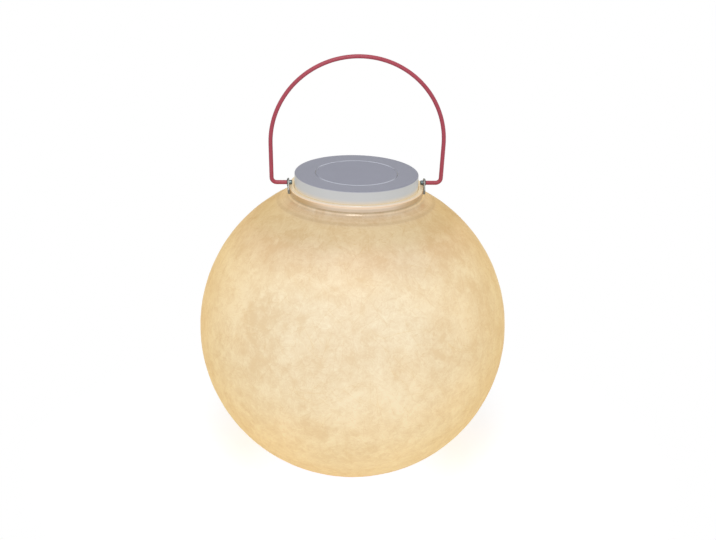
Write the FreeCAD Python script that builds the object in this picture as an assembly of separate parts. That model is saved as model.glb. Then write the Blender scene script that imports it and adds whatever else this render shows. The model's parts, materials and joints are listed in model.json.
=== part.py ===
import FreeCAD
import Part

import math
import os

from FreeCAD import Vector

# A portable garden globe light: a fibre-resin globe with a short neck, a steel collar with two ears,
# a painted wire bail, and a rechargeable light unit that drops into the neck under a grey lid.
# Millimetres. +Z is up, the origin is on the floor under the globe's centre, and -Y is the front.
# The bail's pivots lie along X and the charging port is at the back, towards +Y.

# Globe
GLOBE_R = 150.0          # outside radius of the globe
SHELL_T = 3.0            # wall of the globe
FLAT_R = 38.0            # flat that the globe stands on
FLOOR_T = 4.0            # wall over that flat
FOOT_T = 2.5             # rubber foot ring
FOOT_OUT_R = 36.0
FOOT_IN_R = 25.0
FOOT_ROUND = 0.8

# Neck, sized from the lid outwards
LID_PLAY = 0.4           # between the lid and the neck's bore
NECK_WALL = 3.0          # from the bore to the floor of the collar's groove
LIP_OVER = 1.5           # lip beyond the groove's floor
NECK_OVER = 1.3          # neck below the collar, beyond the groove's floor
NECK_FILLET = 4.5        # from the globe's shoulder into the neck
LIP_T = 2.3
LIP_ROUND = 0.8
LIP_LOWER_ROUND = 0.4
LEDGE_T = 1.3            # ledge that the lid rests on, at its inner edge
LEDGE_ROUND = 0.4
LEDGE_PLAY = 2.0         # between the tub and the ledge
GASKET_T = 1.5
GASKET_IN = 0.6          # gasket's inner edge, from the ledge's
GASKET_OUT = 0.5         # gasket's outer edge, from the bore

# Collar and its clamp
BAND_H = 4.0
BAND_T = 1.2
BAND_PLAY = 0.1          # spare height of the groove
SEAT_PLAY = 0.05         # radial play of a piece in its fixed seat
SPLIT_W = 5.0            # gap between the collar's two clamp lugs
LUG_H = 7.0
LUG_OUT = 5.2            # from the lip's outside to the clamp screw
LUG_NECK_OUT = 1.7       # from the lip's outside to where the lug widens
CLAMP_SHANK_R = 1.5
CLAMP_HEAD_R = 2.75
CLAMP_HEAD_H = 2.0
CLAMP_TAIL = 1.4         # thread that stands out of the nut
CLAMP_HOLE_PLAY = 0.1
NUT_SIDES = 6
NUT_FLATS = 5.5          # across the flats
NUT_T = 2.4

# Pan-head screws, as shares of the head's radius and height
HEAD_ROUND = 0.6
DRIVE_ARM = 0.5
DRIVE_W = 0.2
DRIVE_DEPTH = 0.5

# Ears, bushes and bail
EAR_T = 1.4
EAR_GAP = 0.15           # from the lip to the ear's inner face
EAR_TIP_R = 4.2
EAR_FOOT_W = 18.0
EAR_LAP = 0.8            # ear's foot into the thickness of the band
PIVOT_RISE = 2.5         # bail axis above the top of the neck
WIRE_R = 2.0
WIRE_PLAY = 0.05         # running clearance of the wire in its bush
BUSH_WALL = 0.6
BUSH_FLANGE_R = 3.6
BUSH_FLANGE_T = 0.6
BUSH_ROUND = 0.25
STOP_R = 2.25            # cap on each end of the wire, inside the ear
STOP_L = 2.8
STOP_GAP = 0.15
STOP_ROUND = 0.8
SPIGOT_R = 1.4           # turned-down end of the wire that the cap is pressed on
SPIGOT_L = 2.2
PRESS_PLAY = 0.02
ARCH_R = 82.7            # centreline radius of the bail's arch
ARCH_RISE = 41.2         # arch centre above the pivots
LEG_SPLAY = 2.2          # degrees that each leg leans in towards its foot
BEND_R = 5.0             # centreline radius of the bail's two corners

# Lid
LID_R = 59.5
LID_RISE = 12.2          # lid above the top of the neck
LID_TOP_T = 2.7
LID_WALL = 3.5
LID_EDGE_R = 1.2
LID_CHAMFER = 0.45
RING_SECTION_R = 0.8     # section of the rubber ring in the lid's groove
RING_PLAY = 0.1          # between that ring and the neck's bore
RING_DROP = 2.0          # ring centre below the top of the neck
RING_SLOT_PLAY = 0.1

# Push pad and switch
PAD_FRAME_W = 19.9       # top of the lid, from its edge in to the pad's hole
PAD_GAP = 0.4            # between the pad and the lid's hole
PAD_T = 2.2
PAD_FLANGE_W = 2.8       # flange beyond the pad's edge, under the lid
PAD_FLANGE_T = 1.2
PAD_RIM_W = 3.2          # wall under the pad's edge
PAD_STOP_GAP = 0.1       # between the pad's flange and the lid
PAD_TRAVEL = 1.5
HUB_R = 4.5
HUB_L = 0.8
COLLAR_RIB_R = 9.4       # inside of the rib round the spring's upper end
COLLAR_RIB_W = 1.0
COLLAR_RIB_L = 1.6
PLUNGER_OUT = 2.0        # plunger above the switch at rest
PLUNGER_R = 1.75
PLUNGER_L = 3.6
PLUNGER_PLAY = 0.1
SWITCH_W = 8.0
SWITCH_WELL = 0.6        # room under the plunger at full travel
SWITCH_FLOOR = 0.6
SPRING_R = 8.0           # mean radius of the coil
SPRING_WIRE_R = 0.4
SPRING_TURNS = 4.0

# Circuit board and its carrier
BOARD_T = 1.6
BOARD_GAP = 1.0          # between the board and the lid's bosses
TONGUE_W = 14.0          # board tongue under the charging socket
TONGUE_GAP = 2.0         # from the tongue's end to the lid's wall
STANDOFF_H = 2.0
STANDOFF_R = 3.0
STANDOFF_EDGE = 8.5      # standoffs' centres, from the board's edge
STANDOFF_ANGLES = (30.0, 150.0, 270.0)
BOARD_SCREW_R = 1.25
BOARD_HEAD_R = 2.3
BOARD_HEAD_H = 1.4
BOARD_SCREW_L = 3.2
CARRIER_T = 2.0
CARRIER_PLAY = 0.3       # round the carrier, inside the tub
SLOT_W = 9.0             # lead slots through the carrier
SLOT_L = 6.0
THREAD_PLAY = 0.05       # between a screw and its pilot hole
HOLE_PLAY = 0.2          # between a screw and its clearance hole
HEAD_PLAY = 0.25

# Parts on the board
CHIP_W = 5.0
CHIP_H = 1.0
CHIPS_AT = ((17.0, -14.0), (-18.0, 14.0), (0.0, 24.0))
COIL_R = 3.6
COIL_H = 3.0
COIL_AT = (-19.0, -12.0)
CAPACITOR_R = 2.5
CAPACITOR_H = 3.4
CAPACITOR_EDGE = 21.5    # capacitors' centres, from the board's edge
CAPACITORS_Y = (6.0, 13.0)
LEAD_SOCKET_W = 8.0
LEAD_SOCKET_L = 5.0
LEAD_SOCKET_H = 3.2
LEAD_SOCKETS_AT = ((-12.0, -25.0), (12.0, -25.0))

# Cells and cradle
CELL_R = 9.2
CELL_L = 65.0
CELL_COUNT = 3
CELL_PITCH = 18.8
CELL_PLAY = 0.1
CELL_GROOVE_IN = 4.0     # crimped groove, from the cell's contact end
CELL_GROOVE_W = 1.2
CELL_GROOVE_DEPTH = 0.4
STRAP_OVER = 5.0         # strap beyond the outer cells' axes
CRADLE_BASE_T = 2.0
CRADLE_SIDE = 0.5        # cradle beyond the outer cells
CRADLE_END_T = 1.5
CRADLE_SADDLE_H = 8.0    # saddles above the cradle's base
CRADLE_PLAY = 0.3        # round the cradle, from the tub's wall and its bosses
STRAP_T = 0.3
STRAP_H = 8.0
STRAP_PLAY = 0.2

# Tub under the lid
TUB_INSET = 4.0          # tub inside the lid's wall
TUB_WALL = 2.2
TUB_FLOOR_T = 2.5
TUB_SKIRT = 5.0          # wall below the floor, round the diffuser's rim
TUB_FLANGE_T = 2.0
TUB_FLANGE_PLAY = 0.2
WELL_INSET = 3.8         # centres of the four screw wells, from the tub's wall
WELL_ANGLES = (60.0, 120.0, 240.0, 300.0)
WELL_R = 4.2
WELL_ROOF = 2.5
BOSS_R = 3.5
TUB_SCREW_R = 1.5
TUB_HEAD_R = 2.75
TUB_HEAD_H = 2.0
TUB_SCREW_GRIP = 7.0     # thread in the lid's boss
PILOT_SPARE = 1.0

# Light plate and diffuser
PLATE_PLAY = 0.6         # round the light plate, inside the diffuser
PLATE_T = 2.0
PLATE_SCREW_EDGE = 6.9   # its screws' centres, from its edge
PLATE_SCREW_ANGLES = (0.0, 90.0, 180.0, 270.0)
PLATE_SCREW_R = 1.5
PLATE_HEAD_R = 2.75
PLATE_HEAD_H = 1.8
PLATE_BOSS_R = 3.2
PLATE_BOSS_H = 5.0
PLATE_SCREW_GRIP = 6.0
LIGHT_W = 5.0
LIGHT_T = 1.6
LIGHT_EDGE = 8.9         # outer ring of lights, from the plate's edge
LIGHT_MID_R = 21.0       # radius of the inner ring
LIGHT_OUT_COUNT = 12
LIGHT_MID_COUNT = 6
DOME_PLAY = 0.1
DOME_WALL = 2.0
DOME_RIM_H = 9.0
DOME_DEPTH = 18.0
BEAD_R = 0.5             # snap bead round the diffuser's rim
BEAD_DROP = 3.0

# Leads
LEAD_R = 0.7
LEAD_PITCH = 3.0
LED_LEAD_X = -12.0
LED_LEAD_EDGE = 5.0      # from the board's edge, towards the front
LED_LEAD_BOW = 2.0
LED_LEAD_BEND = 8.0
LEAD_HOLE_R = 4.0
CELL_LEAD_OUT = 5.0      # cell lead beyond the strap
CELL_LEAD_BEND = 3.0

# Charging port and its door
SOCKET_W = 9.0
SOCKET_H = 3.2
SOCKET_L = 7.4
SOCKET_WALL = 0.35
SOCKET_ROUND = 0.9       # corner radius of the socket, as a share of half its height
SOCKET_BACK_T = 1.0
TONGUE_T = 0.7
SOCKET_TONGUE_W = 6.7
SOCKET_TONGUE_L = 4.6
PORT_PLAY = 0.6          # round the socket in the lid's wall
PORT_FLOOR = 1.1         # wall left behind the door
DOOR_W = 14.4
DOOR_H = 7.4
DOOR_PLAY = 0.15
DOOR_ROUND = 1.2
KNUCKLE_R = 0.85
DOOR_PIN_R = 0.4
DOOR_PIN_PLAY = 0.05
DOOR_PIN_GRIP = 1.2      # pin inside the lid at each end
DOOR_BEVEL = 1.35        # drop of the bevel above the hinge per millimetre of its depth

# Radii that two or more pieces share, from the lid outwards
bore_r = LID_R + LID_PLAY
groove_r = bore_r + NECK_WALL
neck_r = groove_r + NECK_OVER
lip_r = groove_r + LIP_OVER
band_in_r = groove_r + SEAT_PLAY
band_out_r = band_in_r + BAND_T
ear_in_x = lip_r + EAR_GAP
ear_out_x = ear_in_x + EAR_T
bush_r = WIRE_R + WIRE_PLAY + BUSH_WALL
stop_out_x = ear_in_x - STOP_GAP
lug_x = SPLIT_W / 2 + BAND_T
lug_neck_y = lip_r + LUG_NECK_OUT
clamp_y = lip_r + LUG_OUT

# Radii that two or more pieces share, from the lid inwards
lid_in_r = LID_R - LID_WALL
pad_hole_r = LID_R - PAD_FRAME_W
pad_r = pad_hole_r - PAD_GAP
ring_r = bore_r - RING_PLAY - RING_SECTION_R
tub_r = lid_in_r - TUB_INSET
tub_in_r = tub_r - TUB_WALL
ledge_r = tub_r + LEDGE_PLAY
well_ring = tub_in_r - WELL_INSET
board_r = well_ring - BOSS_R - BOARD_GAP
dome_r = tub_in_r - DOME_PLAY
dome_in_r = dome_r - DOME_WALL
plate_r = dome_in_r - PLATE_PLAY
standoff_ring = board_r - STANDOFF_EDGE
plate_screw_ring = plate_r - PLATE_SCREW_EDGE
light_out_r = plate_r - LIGHT_EDGE
led_lead_y = LED_LEAD_EDGE - board_r
cell_lead_x = CELL_L / 2 + STRAP_T + CELL_LEAD_OUT

# Heights, from the floor up to the top of the neck
globe_z = FOOT_T + math.sqrt(GLOBE_R**2 - FLAT_R**2)
inner_r = GLOBE_R - SHELL_T
band_z = globe_z + math.sqrt((GLOBE_R + NECK_FILLET) ** 2 - (neck_r + NECK_FILLET) ** 2)
lip_z = band_z + BAND_H + BAND_PLAY
rim_z = lip_z + LIP_T
pivot_z = rim_z + PIVOT_RISE
clamp_z = band_z + BAND_H / 2
ledge_z = globe_z + math.sqrt(inner_r**2 - ledge_r**2) + LEDGE_T
lid_z = ledge_z + GASKET_T
lid_top_z = rim_z + LID_RISE
ring_z = rim_z - RING_DROP

# Heights inside the light unit, from the lid down to the diffuser
lid_under_z = lid_top_z - LID_TOP_T
pad_under_z = lid_top_z - PAD_T
pad_flange_z = lid_under_z - PAD_STOP_GAP - PAD_FLANGE_T
hub_z = pad_under_z - HUB_L
switch_top_z = hub_z - PLUNGER_OUT
plunger_z = hub_z - PLUNGER_L
well_z = plunger_z - PAD_TRAVEL - SWITCH_WELL
board_top_z = well_z - SWITCH_FLOOR
board_z = board_top_z - BOARD_T
carrier_top_z = board_z - STANDOFF_H
carrier_z = carrier_top_z - CARRIER_T
cell_z = carrier_z - CELL_PLAY - CELL_R
tub_floor_top_z = cell_z - CELL_R - CELL_PLAY - CRADLE_BASE_T
tub_floor_z = tub_floor_top_z - TUB_FLOOR_T
skirt_z = tub_floor_z - TUB_SKIRT
plate_z = tub_floor_z - PLATE_T
dome_rim_z = tub_floor_z - DOME_RIM_H
bead_z = tub_floor_z - BEAD_DROP

# The charging port, in the lid's wall at the back
socket_z = board_top_z + SOCKET_H / 2
port_floor_y = lid_in_r + PORT_FLOOR
door_axis_y = port_floor_y + DOOR_PLAY + KNUCKLE_R
door_top_z = socket_z + DOOR_H / 2
door_axis_z = door_top_z - KNUCKLE_R


def at(point):
    """A point of the XZ plane, given as (x, z)."""
    return Vector(point[0], 0, point[1])


def corner(before, point, after):
    """Start, middle and end of the arc that rounds the corner (x, z, radius)."""
    here = Vector(point[0], point[1], 0)
    back = (Vector(before[0], before[1], 0) - here).normalize()
    ahead = (Vector(after[0], after[1], 0) - here).normalize()
    half = back.getAngle(ahead) / 2
    inward = (back + ahead).normalize()
    run = point[2] / math.tan(half)
    start = here + back * run
    end = here + ahead * run
    middle = here + inward * (point[2] / math.sin(half) - point[2])
    return (start.x, start.y), (middle.x, middle.y), (end.x, end.y)


def edges_along(steps, closed):
    """Edges in the XZ plane. A step is (x, z), or (x, z, radius) for a rounded corner,
    or ((x, z), (x, z)) for an arc through the first point to the second."""
    edges = []
    here = steps[0]
    following = list(steps[1:]) + ([steps[0]] if closed else [])
    for number, step in enumerate(following):
        if isinstance(step[0], tuple):
            middle, end = step
            edges.append(Part.Arc(at(here), at(middle), at(end)).toShape())
        elif len(step) == 3:
            start, middle, end = corner(here, step, following[number + 1])
            edges.append(Part.makeLine(at(here), at(start)))
            edges.append(Part.Arc(at(start), at(middle), at(end)).toShape())
        else:
            end = step
            edges.append(Part.makeLine(at(here), at(end)))
        here = end
    return edges


def turned(*steps):
    """A solid of revolution about Z from a closed outline."""
    face = Part.Face(Part.Wire(edges_along(steps, True)))
    return face.revolve(Vector(0, 0, 0), Vector(0, 0, 1), 360)


def disc(radius, low, high, x=0.0, y=0.0):
    return Part.makeCylinder(radius, high - low, Vector(x, y, low))


def ring(out_r, in_r, low, high):
    return disc(out_r, low, high).cut(disc(in_r, low, high))


def rod(radius, x_from, x_to, y, z):
    """A cylinder along X."""
    return Part.makeCylinder(radius, x_to - x_from, Vector(x_from, y, z), Vector(1, 0, 0))


def block(x_from, x_to, y_from, y_to, z_from, z_to):
    size = (x_to - x_from, y_to - y_from, z_to - z_from)
    return Part.makeBox(*size, Vector(x_from, y_from, z_from))


def on_ring(radius, angle):
    """The x and y of a place on a circle round Z, from an angle in degrees."""
    turn = math.radians(angle)
    return radius * math.cos(turn), radius * math.sin(turn)


def on_board(x, y, width, length, height):
    """A block that stands on the board, centred on (x, y)."""
    x_from, y_from = x - width / 2, y - length / 2
    return block(x_from, x_from + width, y_from, y_from + length, board_top_z, board_top_z + height)


def half_turned(shape):
    """The same piece on the other side of Z."""
    other = shape.copy()
    other.rotate(Vector(0, 0, 0), Vector(0, 0, 1), 180)
    return other


def rounded_slab(width, height, radius, y_from, y_to, z):
    """A plate with rounded corners, normal to Y and centred on x = 0."""
    w, h = width / 2, height / 2
    steps = [(0, z - h), (w, z - h, radius), (w, z + h, radius)]
    steps += [(-w, z + h, radius), (-w, z - h, radius)]
    face = Part.Face(Part.Wire(edges_along(steps, True)))
    face.translate(Vector(0, y_from, 0))
    return face.extrude(Vector(0, y_to - y_from, 0))


def pan_screw(shank_r, length, head_r, head_h):
    """A pan-head screw that points down from the origin, with a cross recess in its head."""
    crown = head_h * HEAD_ROUND
    screw = turned(
        (0, -length), (shank_r, -length), (shank_r, 0), (head_r, 0), (head_r, head_h, crown), (0, head_h)
    )
    arm, half, low = head_r * DRIVE_ARM, head_r * DRIVE_W / 2, head_h * (1 - DRIVE_DEPTH)
    cross = [block(-arm, arm, -half, half, low, head_h), block(-half, half, -arm, arm, low, head_h)]
    return screw.cut(cross)


def placed(shape, x, y, z, upside_down=False):
    other = shape.copy()
    if upside_down:
        other.rotate(Vector(0, 0, 0), Vector(1, 0, 0), 180)
    other.translate(Vector(x, y, z))
    return other


def globe_shell():
    """The globe with its flat, shoulder fillet, collar groove, lip and lid seat."""
    share = GLOBE_R / (GLOBE_R + NECK_FILLET)
    fillet = Vector(neck_r + NECK_FILLET, band_z - globe_z, 0)
    meet = (fillet.x * share, globe_z + fillet.y * share)
    to_meet, to_neck = fillet.normalize() * -1, Vector(-1, 0, 0)
    lean = (to_meet + to_neck).normalize() * NECK_FILLET
    bend = (neck_r + NECK_FILLET + lean.x, band_z + lean.y)
    floor_z = FOOT_T + FLOOR_T
    floor_r = math.sqrt(inner_r**2 - (globe_z - floor_z) ** 2)
    return turned(
        (0, FOOT_T),
        (FLAT_R, FOOT_T),
        ((GLOBE_R, globe_z), meet),
        (bend, (neck_r, band_z)),
        (groove_r, band_z),
        (groove_r, lip_z),
        (lip_r, lip_z, LIP_LOWER_ROUND),
        (lip_r, rim_z, LIP_ROUND),
        (bore_r, rim_z, LIP_ROUND),
        (bore_r, ledge_z),
        (ledge_r, ledge_z, LEDGE_ROUND),
        (ledge_r, ledge_z - LEDGE_T),
        ((inner_r, globe_z), (floor_r, floor_z)),
        (0, floor_z),
    )


def foot_ring():
    return turned(
        (FOOT_IN_R, FOOT_T),
        (FOOT_IN_R, 0, FOOT_ROUND),
        (FOOT_OUT_R, 0, FOOT_ROUND),
        (FOOT_OUT_R, FOOT_T),
    )


def neck_gasket():
    return ring(bore_r - GASKET_OUT, ledge_r + GASKET_IN, ledge_z, lid_z)


def ear():
    """One ear of the collar, on the +X side: a tapered tab with a round tip, drilled for its bush."""
    foot_w = EAR_FOOT_W / 2
    shoulder = Vector(foot_w, band_z + BAND_H - pivot_z, 0)
    tilt = math.atan2(shoulder.y, shoulder.x) + math.acos(EAR_TIP_R / shoulder.Length)
    touch_y, touch_z = EAR_TIP_R * math.cos(tilt), pivot_z + EAR_TIP_R * math.sin(tilt)
    top = band_z + BAND_H
    corners = [(-foot_w, band_z), (foot_w, band_z), (foot_w, top), (touch_y, touch_z)]
    corners = [Vector(ear_in_x, y, z) for y, z in corners]
    tip = Part.Arc(
        Vector(ear_in_x, touch_y, touch_z),
        Vector(ear_in_x, 0, pivot_z + EAR_TIP_R),
        Vector(ear_in_x, -touch_y, touch_z),
    ).toShape()
    outline = Part.makePolygon(corners).Edges + [tip]
    outline += Part.makePolygon(
        [Vector(ear_in_x, -touch_y, touch_z), Vector(ear_in_x, -foot_w, top), corners[0]]
    ).Edges
    tab = Part.Face(Part.Wire(outline)).extrude(Vector(EAR_T, 0, 0))
    foot = block(band_out_r - EAR_LAP, ear_out_x, -foot_w, foot_w, band_z, top)
    hole = rod(bush_r + SEAT_PLAY, ear_in_x, ear_out_x, 0, pivot_z)
    return tab.fuse(foot).cut(hole)


def clamp_lug():
    """The collar's turned-out end on the +X side of the split, at the back."""
    inner_x = SPLIT_W / 2
    middle_r = band_in_r + BAND_T / 2
    root = block(inner_x, lug_x, middle_r, lug_neck_y, band_z, band_z + BAND_H)
    half = LUG_H / 2
    wide = block(inner_x, lug_x, lug_neck_y, clamp_y, clamp_z - half, clamp_z + half)
    end = rod(half, inner_x, lug_x, clamp_y, clamp_z)
    hole = rod(CLAMP_SHANK_R + CLAMP_HOLE_PLAY, inner_x, lug_x, clamp_y, clamp_z)
    return root.fuse([wide, end]).cut(hole)


def collar_band():
    """The steel collar in the neck's groove, split at the back, with both ears and both clamp lugs."""
    band = ring(band_out_r, band_in_r, band_z, band_z + BAND_H)
    split = block(-SPLIT_W / 2, SPLIT_W / 2, 0, band_out_r, band_z, band_z + BAND_H)
    lug = clamp_lug()
    other_lug = lug.mirror(Vector(0, 0, 0), Vector(1, 0, 0))
    right = ear()
    return band.cut(split).fuse([right, half_turned(right), lug, other_lug]).removeSplitter()


def clamp_screw():
    length = 2 * lug_x + NUT_T + CLAMP_TAIL
    screw = pan_screw(CLAMP_SHANK_R, length, CLAMP_HEAD_R, CLAMP_HEAD_H)
    screw.rotate(Vector(0, 0, 0), Vector(0, 1, 0), 90)
    return placed(screw, lug_x, clamp_y, clamp_z)


def clamp_nut():
    corner_r = NUT_FLATS / 2 / math.cos(math.pi / NUT_SIDES)
    points = [on_ring(corner_r, 360 / NUT_SIDES * n) for n in range(NUT_SIDES)]
    points = [Vector(-lug_x, clamp_y + y, clamp_z + z) for y, z in points + points[:1]]
    nut = Part.Face(Part.makePolygon(points)).extrude(Vector(-NUT_T, 0, 0))
    hole = rod(CLAMP_SHANK_R + THREAD_PLAY, -lug_x - NUT_T, -lug_x, clamp_y, clamp_z)
    return nut.cut(hole)


def ear_bushes():
    """A flanged bush in each ear, its flange on the outer face."""
    bore_r = WIRE_R + WIRE_PLAY
    flange_x = ear_out_x + BUSH_FLANGE_T
    bush = turned(
        (bore_r, ear_in_x),
        (bush_r, ear_in_x),
        (bush_r, ear_out_x),
        (BUSH_FLANGE_R, ear_out_x),
        (BUSH_FLANGE_R, flange_x, BUSH_ROUND),
        (bore_r, flange_x),
    )
    bush.rotate(Vector(0, 0, 0), Vector(0, 1, 0), 90)
    bush.translate(Vector(0, 0, pivot_z))
    return [bush, half_turned(bush)]


def bail_handle():
    """The bail: one bent wire with an inturned end in each ear."""
    lean = math.radians(LEG_SPLAY)
    arch_z = pivot_z + ARCH_RISE
    leg_x, leg_z = ARCH_R * math.cos(lean), arch_z - ARCH_R * math.sin(lean)
    corner_x = leg_x - (leg_z - pivot_z) * math.tan(lean)
    steps = [
        (stop_out_x, pivot_z),
        (corner_x, pivot_z, BEND_R),
        (leg_x, leg_z),
        ((0, arch_z + ARCH_R), (-leg_x, leg_z)),
        (-corner_x, pivot_z, BEND_R),
        (-stop_out_x, pivot_z),
    ]
    path = Part.Wire(edges_along(steps, False))
    start = Part.makeCircle(WIRE_R, Vector(stop_out_x, 0, pivot_z), Vector(1, 0, 0))
    wire = path.makePipeShell([Part.Wire(start)], True, False)
    spigot = rod(SPIGOT_R, stop_out_x - SPIGOT_L, stop_out_x, 0, pivot_z)
    return wire.fuse([spigot, half_turned(spigot)])


def bail_stop_caps():
    """A domed cap pressed on each end of the wire, so that it can't leave its bush."""
    inner_x = stop_out_x - STOP_L
    bore_r = SPIGOT_R + PRESS_PLAY
    cap = turned(
        (0, inner_x),
        (STOP_R, inner_x, STOP_ROUND),
        (STOP_R, stop_out_x),
        (bore_r, stop_out_x),
        (bore_r, stop_out_x - SPIGOT_L),
        (0, stop_out_x - SPIGOT_L),
    )
    cap.rotate(Vector(0, 0, 0), Vector(0, 1, 0), 90)
    cap.translate(Vector(0, 0, pivot_z))
    return [cap, half_turned(cap)]


def port_cut():
    """The door's pocket in the lid's wall, the socket's slot behind it and the hinge pin's hole."""
    width, height = DOOR_W + 2 * DOOR_PLAY, DOOR_H + 2 * DOOR_PLAY
    pocket = rounded_slab(width, height, DOOR_ROUND, port_floor_y, LID_R + PORT_FLOOR, socket_z)
    slot_w, slot_h = SOCKET_W + 2 * PORT_PLAY, SOCKET_H + 2 * PORT_PLAY
    slot = rounded_slab(slot_w, slot_h, SOCKET_H / 2, lid_in_r - PORT_FLOOR, port_floor_y, socket_z)
    reach = width / 2 + DOOR_PIN_GRIP
    hole = rod(DOOR_PIN_R + DOOR_PIN_PLAY, -reach, reach, door_axis_y, door_axis_z)
    return [pocket, slot, hole]


def lid_shell():
    """The lid: a cup with a hole for the push pad, four screw bosses and the charging port."""
    body = turned(
        (pad_hole_r, lid_under_z),
        (pad_hole_r, lid_top_z - LID_CHAMFER),
        (pad_hole_r + LID_CHAMFER, lid_top_z),
        (LID_R, lid_top_z, LID_EDGE_R),
        (LID_R, ring_z + RING_SECTION_R + RING_SLOT_PLAY),
        (ring_r - RING_SECTION_R, ring_z + RING_SECTION_R + RING_SLOT_PLAY),
        (ring_r - RING_SECTION_R, ring_z - RING_SECTION_R - RING_SLOT_PLAY),
        (LID_R, ring_z - RING_SECTION_R - RING_SLOT_PLAY),
        (LID_R, lid_z),
        (lid_in_r, lid_z),
        (lid_in_r, lid_under_z),
    )
    bosses = [disc(BOSS_R, carrier_top_z, lid_under_z, *on_ring(well_ring, a)) for a in WELL_ANGLES]
    depth = TUB_SCREW_GRIP + PILOT_SPARE
    pilot_r = TUB_SCREW_R + THREAD_PLAY
    pilots = [
        disc(pilot_r, carrier_top_z, carrier_top_z + depth, *on_ring(well_ring, a)) for a in WELL_ANGLES
    ]
    return body.fuse(bosses).cut(pilots + port_cut()).removeSplitter()


def lid_ring():
    """The rubber ring that grips and seals the lid in the neck."""
    return Part.makeTorus(ring_r, RING_SECTION_R, Vector(0, 0, ring_z))


def power_pad():
    """The round push pad in the lid, with a hub over the switch and a rib round its spring."""
    low_z = pad_flange_z
    flange_top = pad_flange_z + PAD_FLANGE_T
    rim_in_r = pad_r - PAD_RIM_W
    body = turned(
        (0, pad_under_z),
        (rim_in_r, pad_under_z),
        (rim_in_r, low_z),
        (pad_r + PAD_FLANGE_W, low_z),
        (pad_r + PAD_FLANGE_W, flange_top),
        (pad_r, flange_top),
        (pad_r, lid_top_z - LID_CHAMFER),
        (pad_r - LID_CHAMFER, lid_top_z),
        (0, lid_top_z),
    )
    hub = disc(HUB_R, hub_z, pad_under_z)
    rib = ring(COLLAR_RIB_R + COLLAR_RIB_W, COLLAR_RIB_R, pad_under_z - COLLAR_RIB_L, pad_under_z)
    return body.fuse([hub, rib]).removeSplitter()


def switch_body():
    """The push switch, with the bore that its plunger slides in."""
    half = SWITCH_W / 2
    body = block(-half, half, -half, half, board_top_z, switch_top_z)
    return body.cut(disc(PLUNGER_R + PLUNGER_PLAY, well_z, switch_top_z))


def switch_plunger():
    return disc(PLUNGER_R, plunger_z, hub_z)


def button_spring():
    """The coil spring that lifts the push pad, round the switch."""
    low, high = board_top_z + SPRING_WIRE_R, pad_under_z - SPRING_WIRE_R
    helix = Part.makeHelix((high - low) / SPRING_TURNS, high - low, SPRING_R)
    helix.translate(Vector(0, 0, low))
    start = Part.makeCircle(SPRING_WIRE_R, Vector(SPRING_R, 0, low), Vector(0, 1, 0))
    return Part.Wire(helix).makePipeShell([Part.Wire(start)], True, True)


def control_board():
    """The circuit board: a disc with a tongue at the back under the charging socket."""
    half = TONGUE_W / 2
    board = disc(board_r, board_z, board_top_z)
    board = board.fuse(block(-half, half, 0, lid_in_r - TONGUE_GAP, board_z, board_top_z))
    hole_r = BOARD_SCREW_R + HOLE_PLAY
    holes = [disc(hole_r, board_z, board_top_z, *on_ring(standoff_ring, a)) for a in STANDOFF_ANGLES]
    return board.cut(holes).removeSplitter()


def board_screws():
    screw = pan_screw(BOARD_SCREW_R, BOARD_SCREW_L, BOARD_HEAD_R, BOARD_HEAD_H)
    return [placed(screw, *on_ring(standoff_ring, a), board_top_z) for a in STANDOFF_ANGLES]


def board_components():
    """The parts soldered on the board: chips, a coil, two capacitors and two lead sockets."""
    chips = [on_board(x, y, CHIP_W, CHIP_W, CHIP_H) for x, y in CHIPS_AT]
    sockets = [on_board(x, y, LEAD_SOCKET_W, LEAD_SOCKET_L, LEAD_SOCKET_H) for x, y in LEAD_SOCKETS_AT]
    coil = disc(COIL_R, board_top_z, board_top_z + COIL_H, *COIL_AT)
    can_x, can_top = board_r - CAPACITOR_EDGE, board_top_z + CAPACITOR_H
    cans = [disc(CAPACITOR_R, board_top_z, can_top, can_x, y) for y in CAPACITORS_Y]
    return chips + sockets + [coil] + cans


def socket_shell():
    """The charging socket: a flat-oval metal shell with a contact tongue."""
    front = port_floor_y - DOOR_PLAY
    back = front - SOCKET_L
    outer = rounded_slab(SOCKET_W, SOCKET_H, SOCKET_ROUND * SOCKET_H / 2, back, front, socket_z)
    wide, tall = SOCKET_W - 2 * SOCKET_WALL, SOCKET_H - 2 * SOCKET_WALL
    hollow = rounded_slab(wide, tall, SOCKET_ROUND * tall / 2, back + SOCKET_BACK_T, front, socket_z)
    half_w, half_t = SOCKET_TONGUE_W / 2, TONGUE_T / 2
    tip = back + SOCKET_BACK_T + SOCKET_TONGUE_L
    tongue = block(-half_w, half_w, back, tip, socket_z - half_t, socket_z + half_t)
    return outer.cut(hollow).fuse(tongue)


def port_door():
    """The charging port's door, curved like the lid, with a hinge knuckle along its top edge."""
    slab = rounded_slab(DOOR_W, DOOR_H, DOOR_ROUND, port_floor_y + DOOR_PLAY, LID_R, socket_z)
    slab = slab.common(disc(LID_R, socket_z - DOOR_H, socket_z + DOOR_H))
    reach, rise = LID_R - door_axis_y + DOOR_PLAY, 2 * KNUCKLE_R
    half = DOOR_W / 2
    wedge = [(0, 0), (0, rise), (reach, rise), (reach, -reach * DOOR_BEVEL), (0, 0)]
    points = [Vector(-half, door_axis_y + y, door_axis_z + z) for y, z in wedge]
    clear = Part.Face(Part.makePolygon(points)).extrude(Vector(DOOR_W, 0, 0))
    above = block(-half, half, port_floor_y, door_axis_y, door_axis_z, door_top_z)
    knuckle = rod(KNUCKLE_R, -half + DOOR_ROUND, half - DOOR_ROUND, door_axis_y, door_axis_z)
    bore = rod(DOOR_PIN_R + DOOR_PIN_PLAY, -half, half, door_axis_y, door_axis_z)
    return slab.cut([clear, above]).fuse(knuckle).cut(bore)


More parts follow.
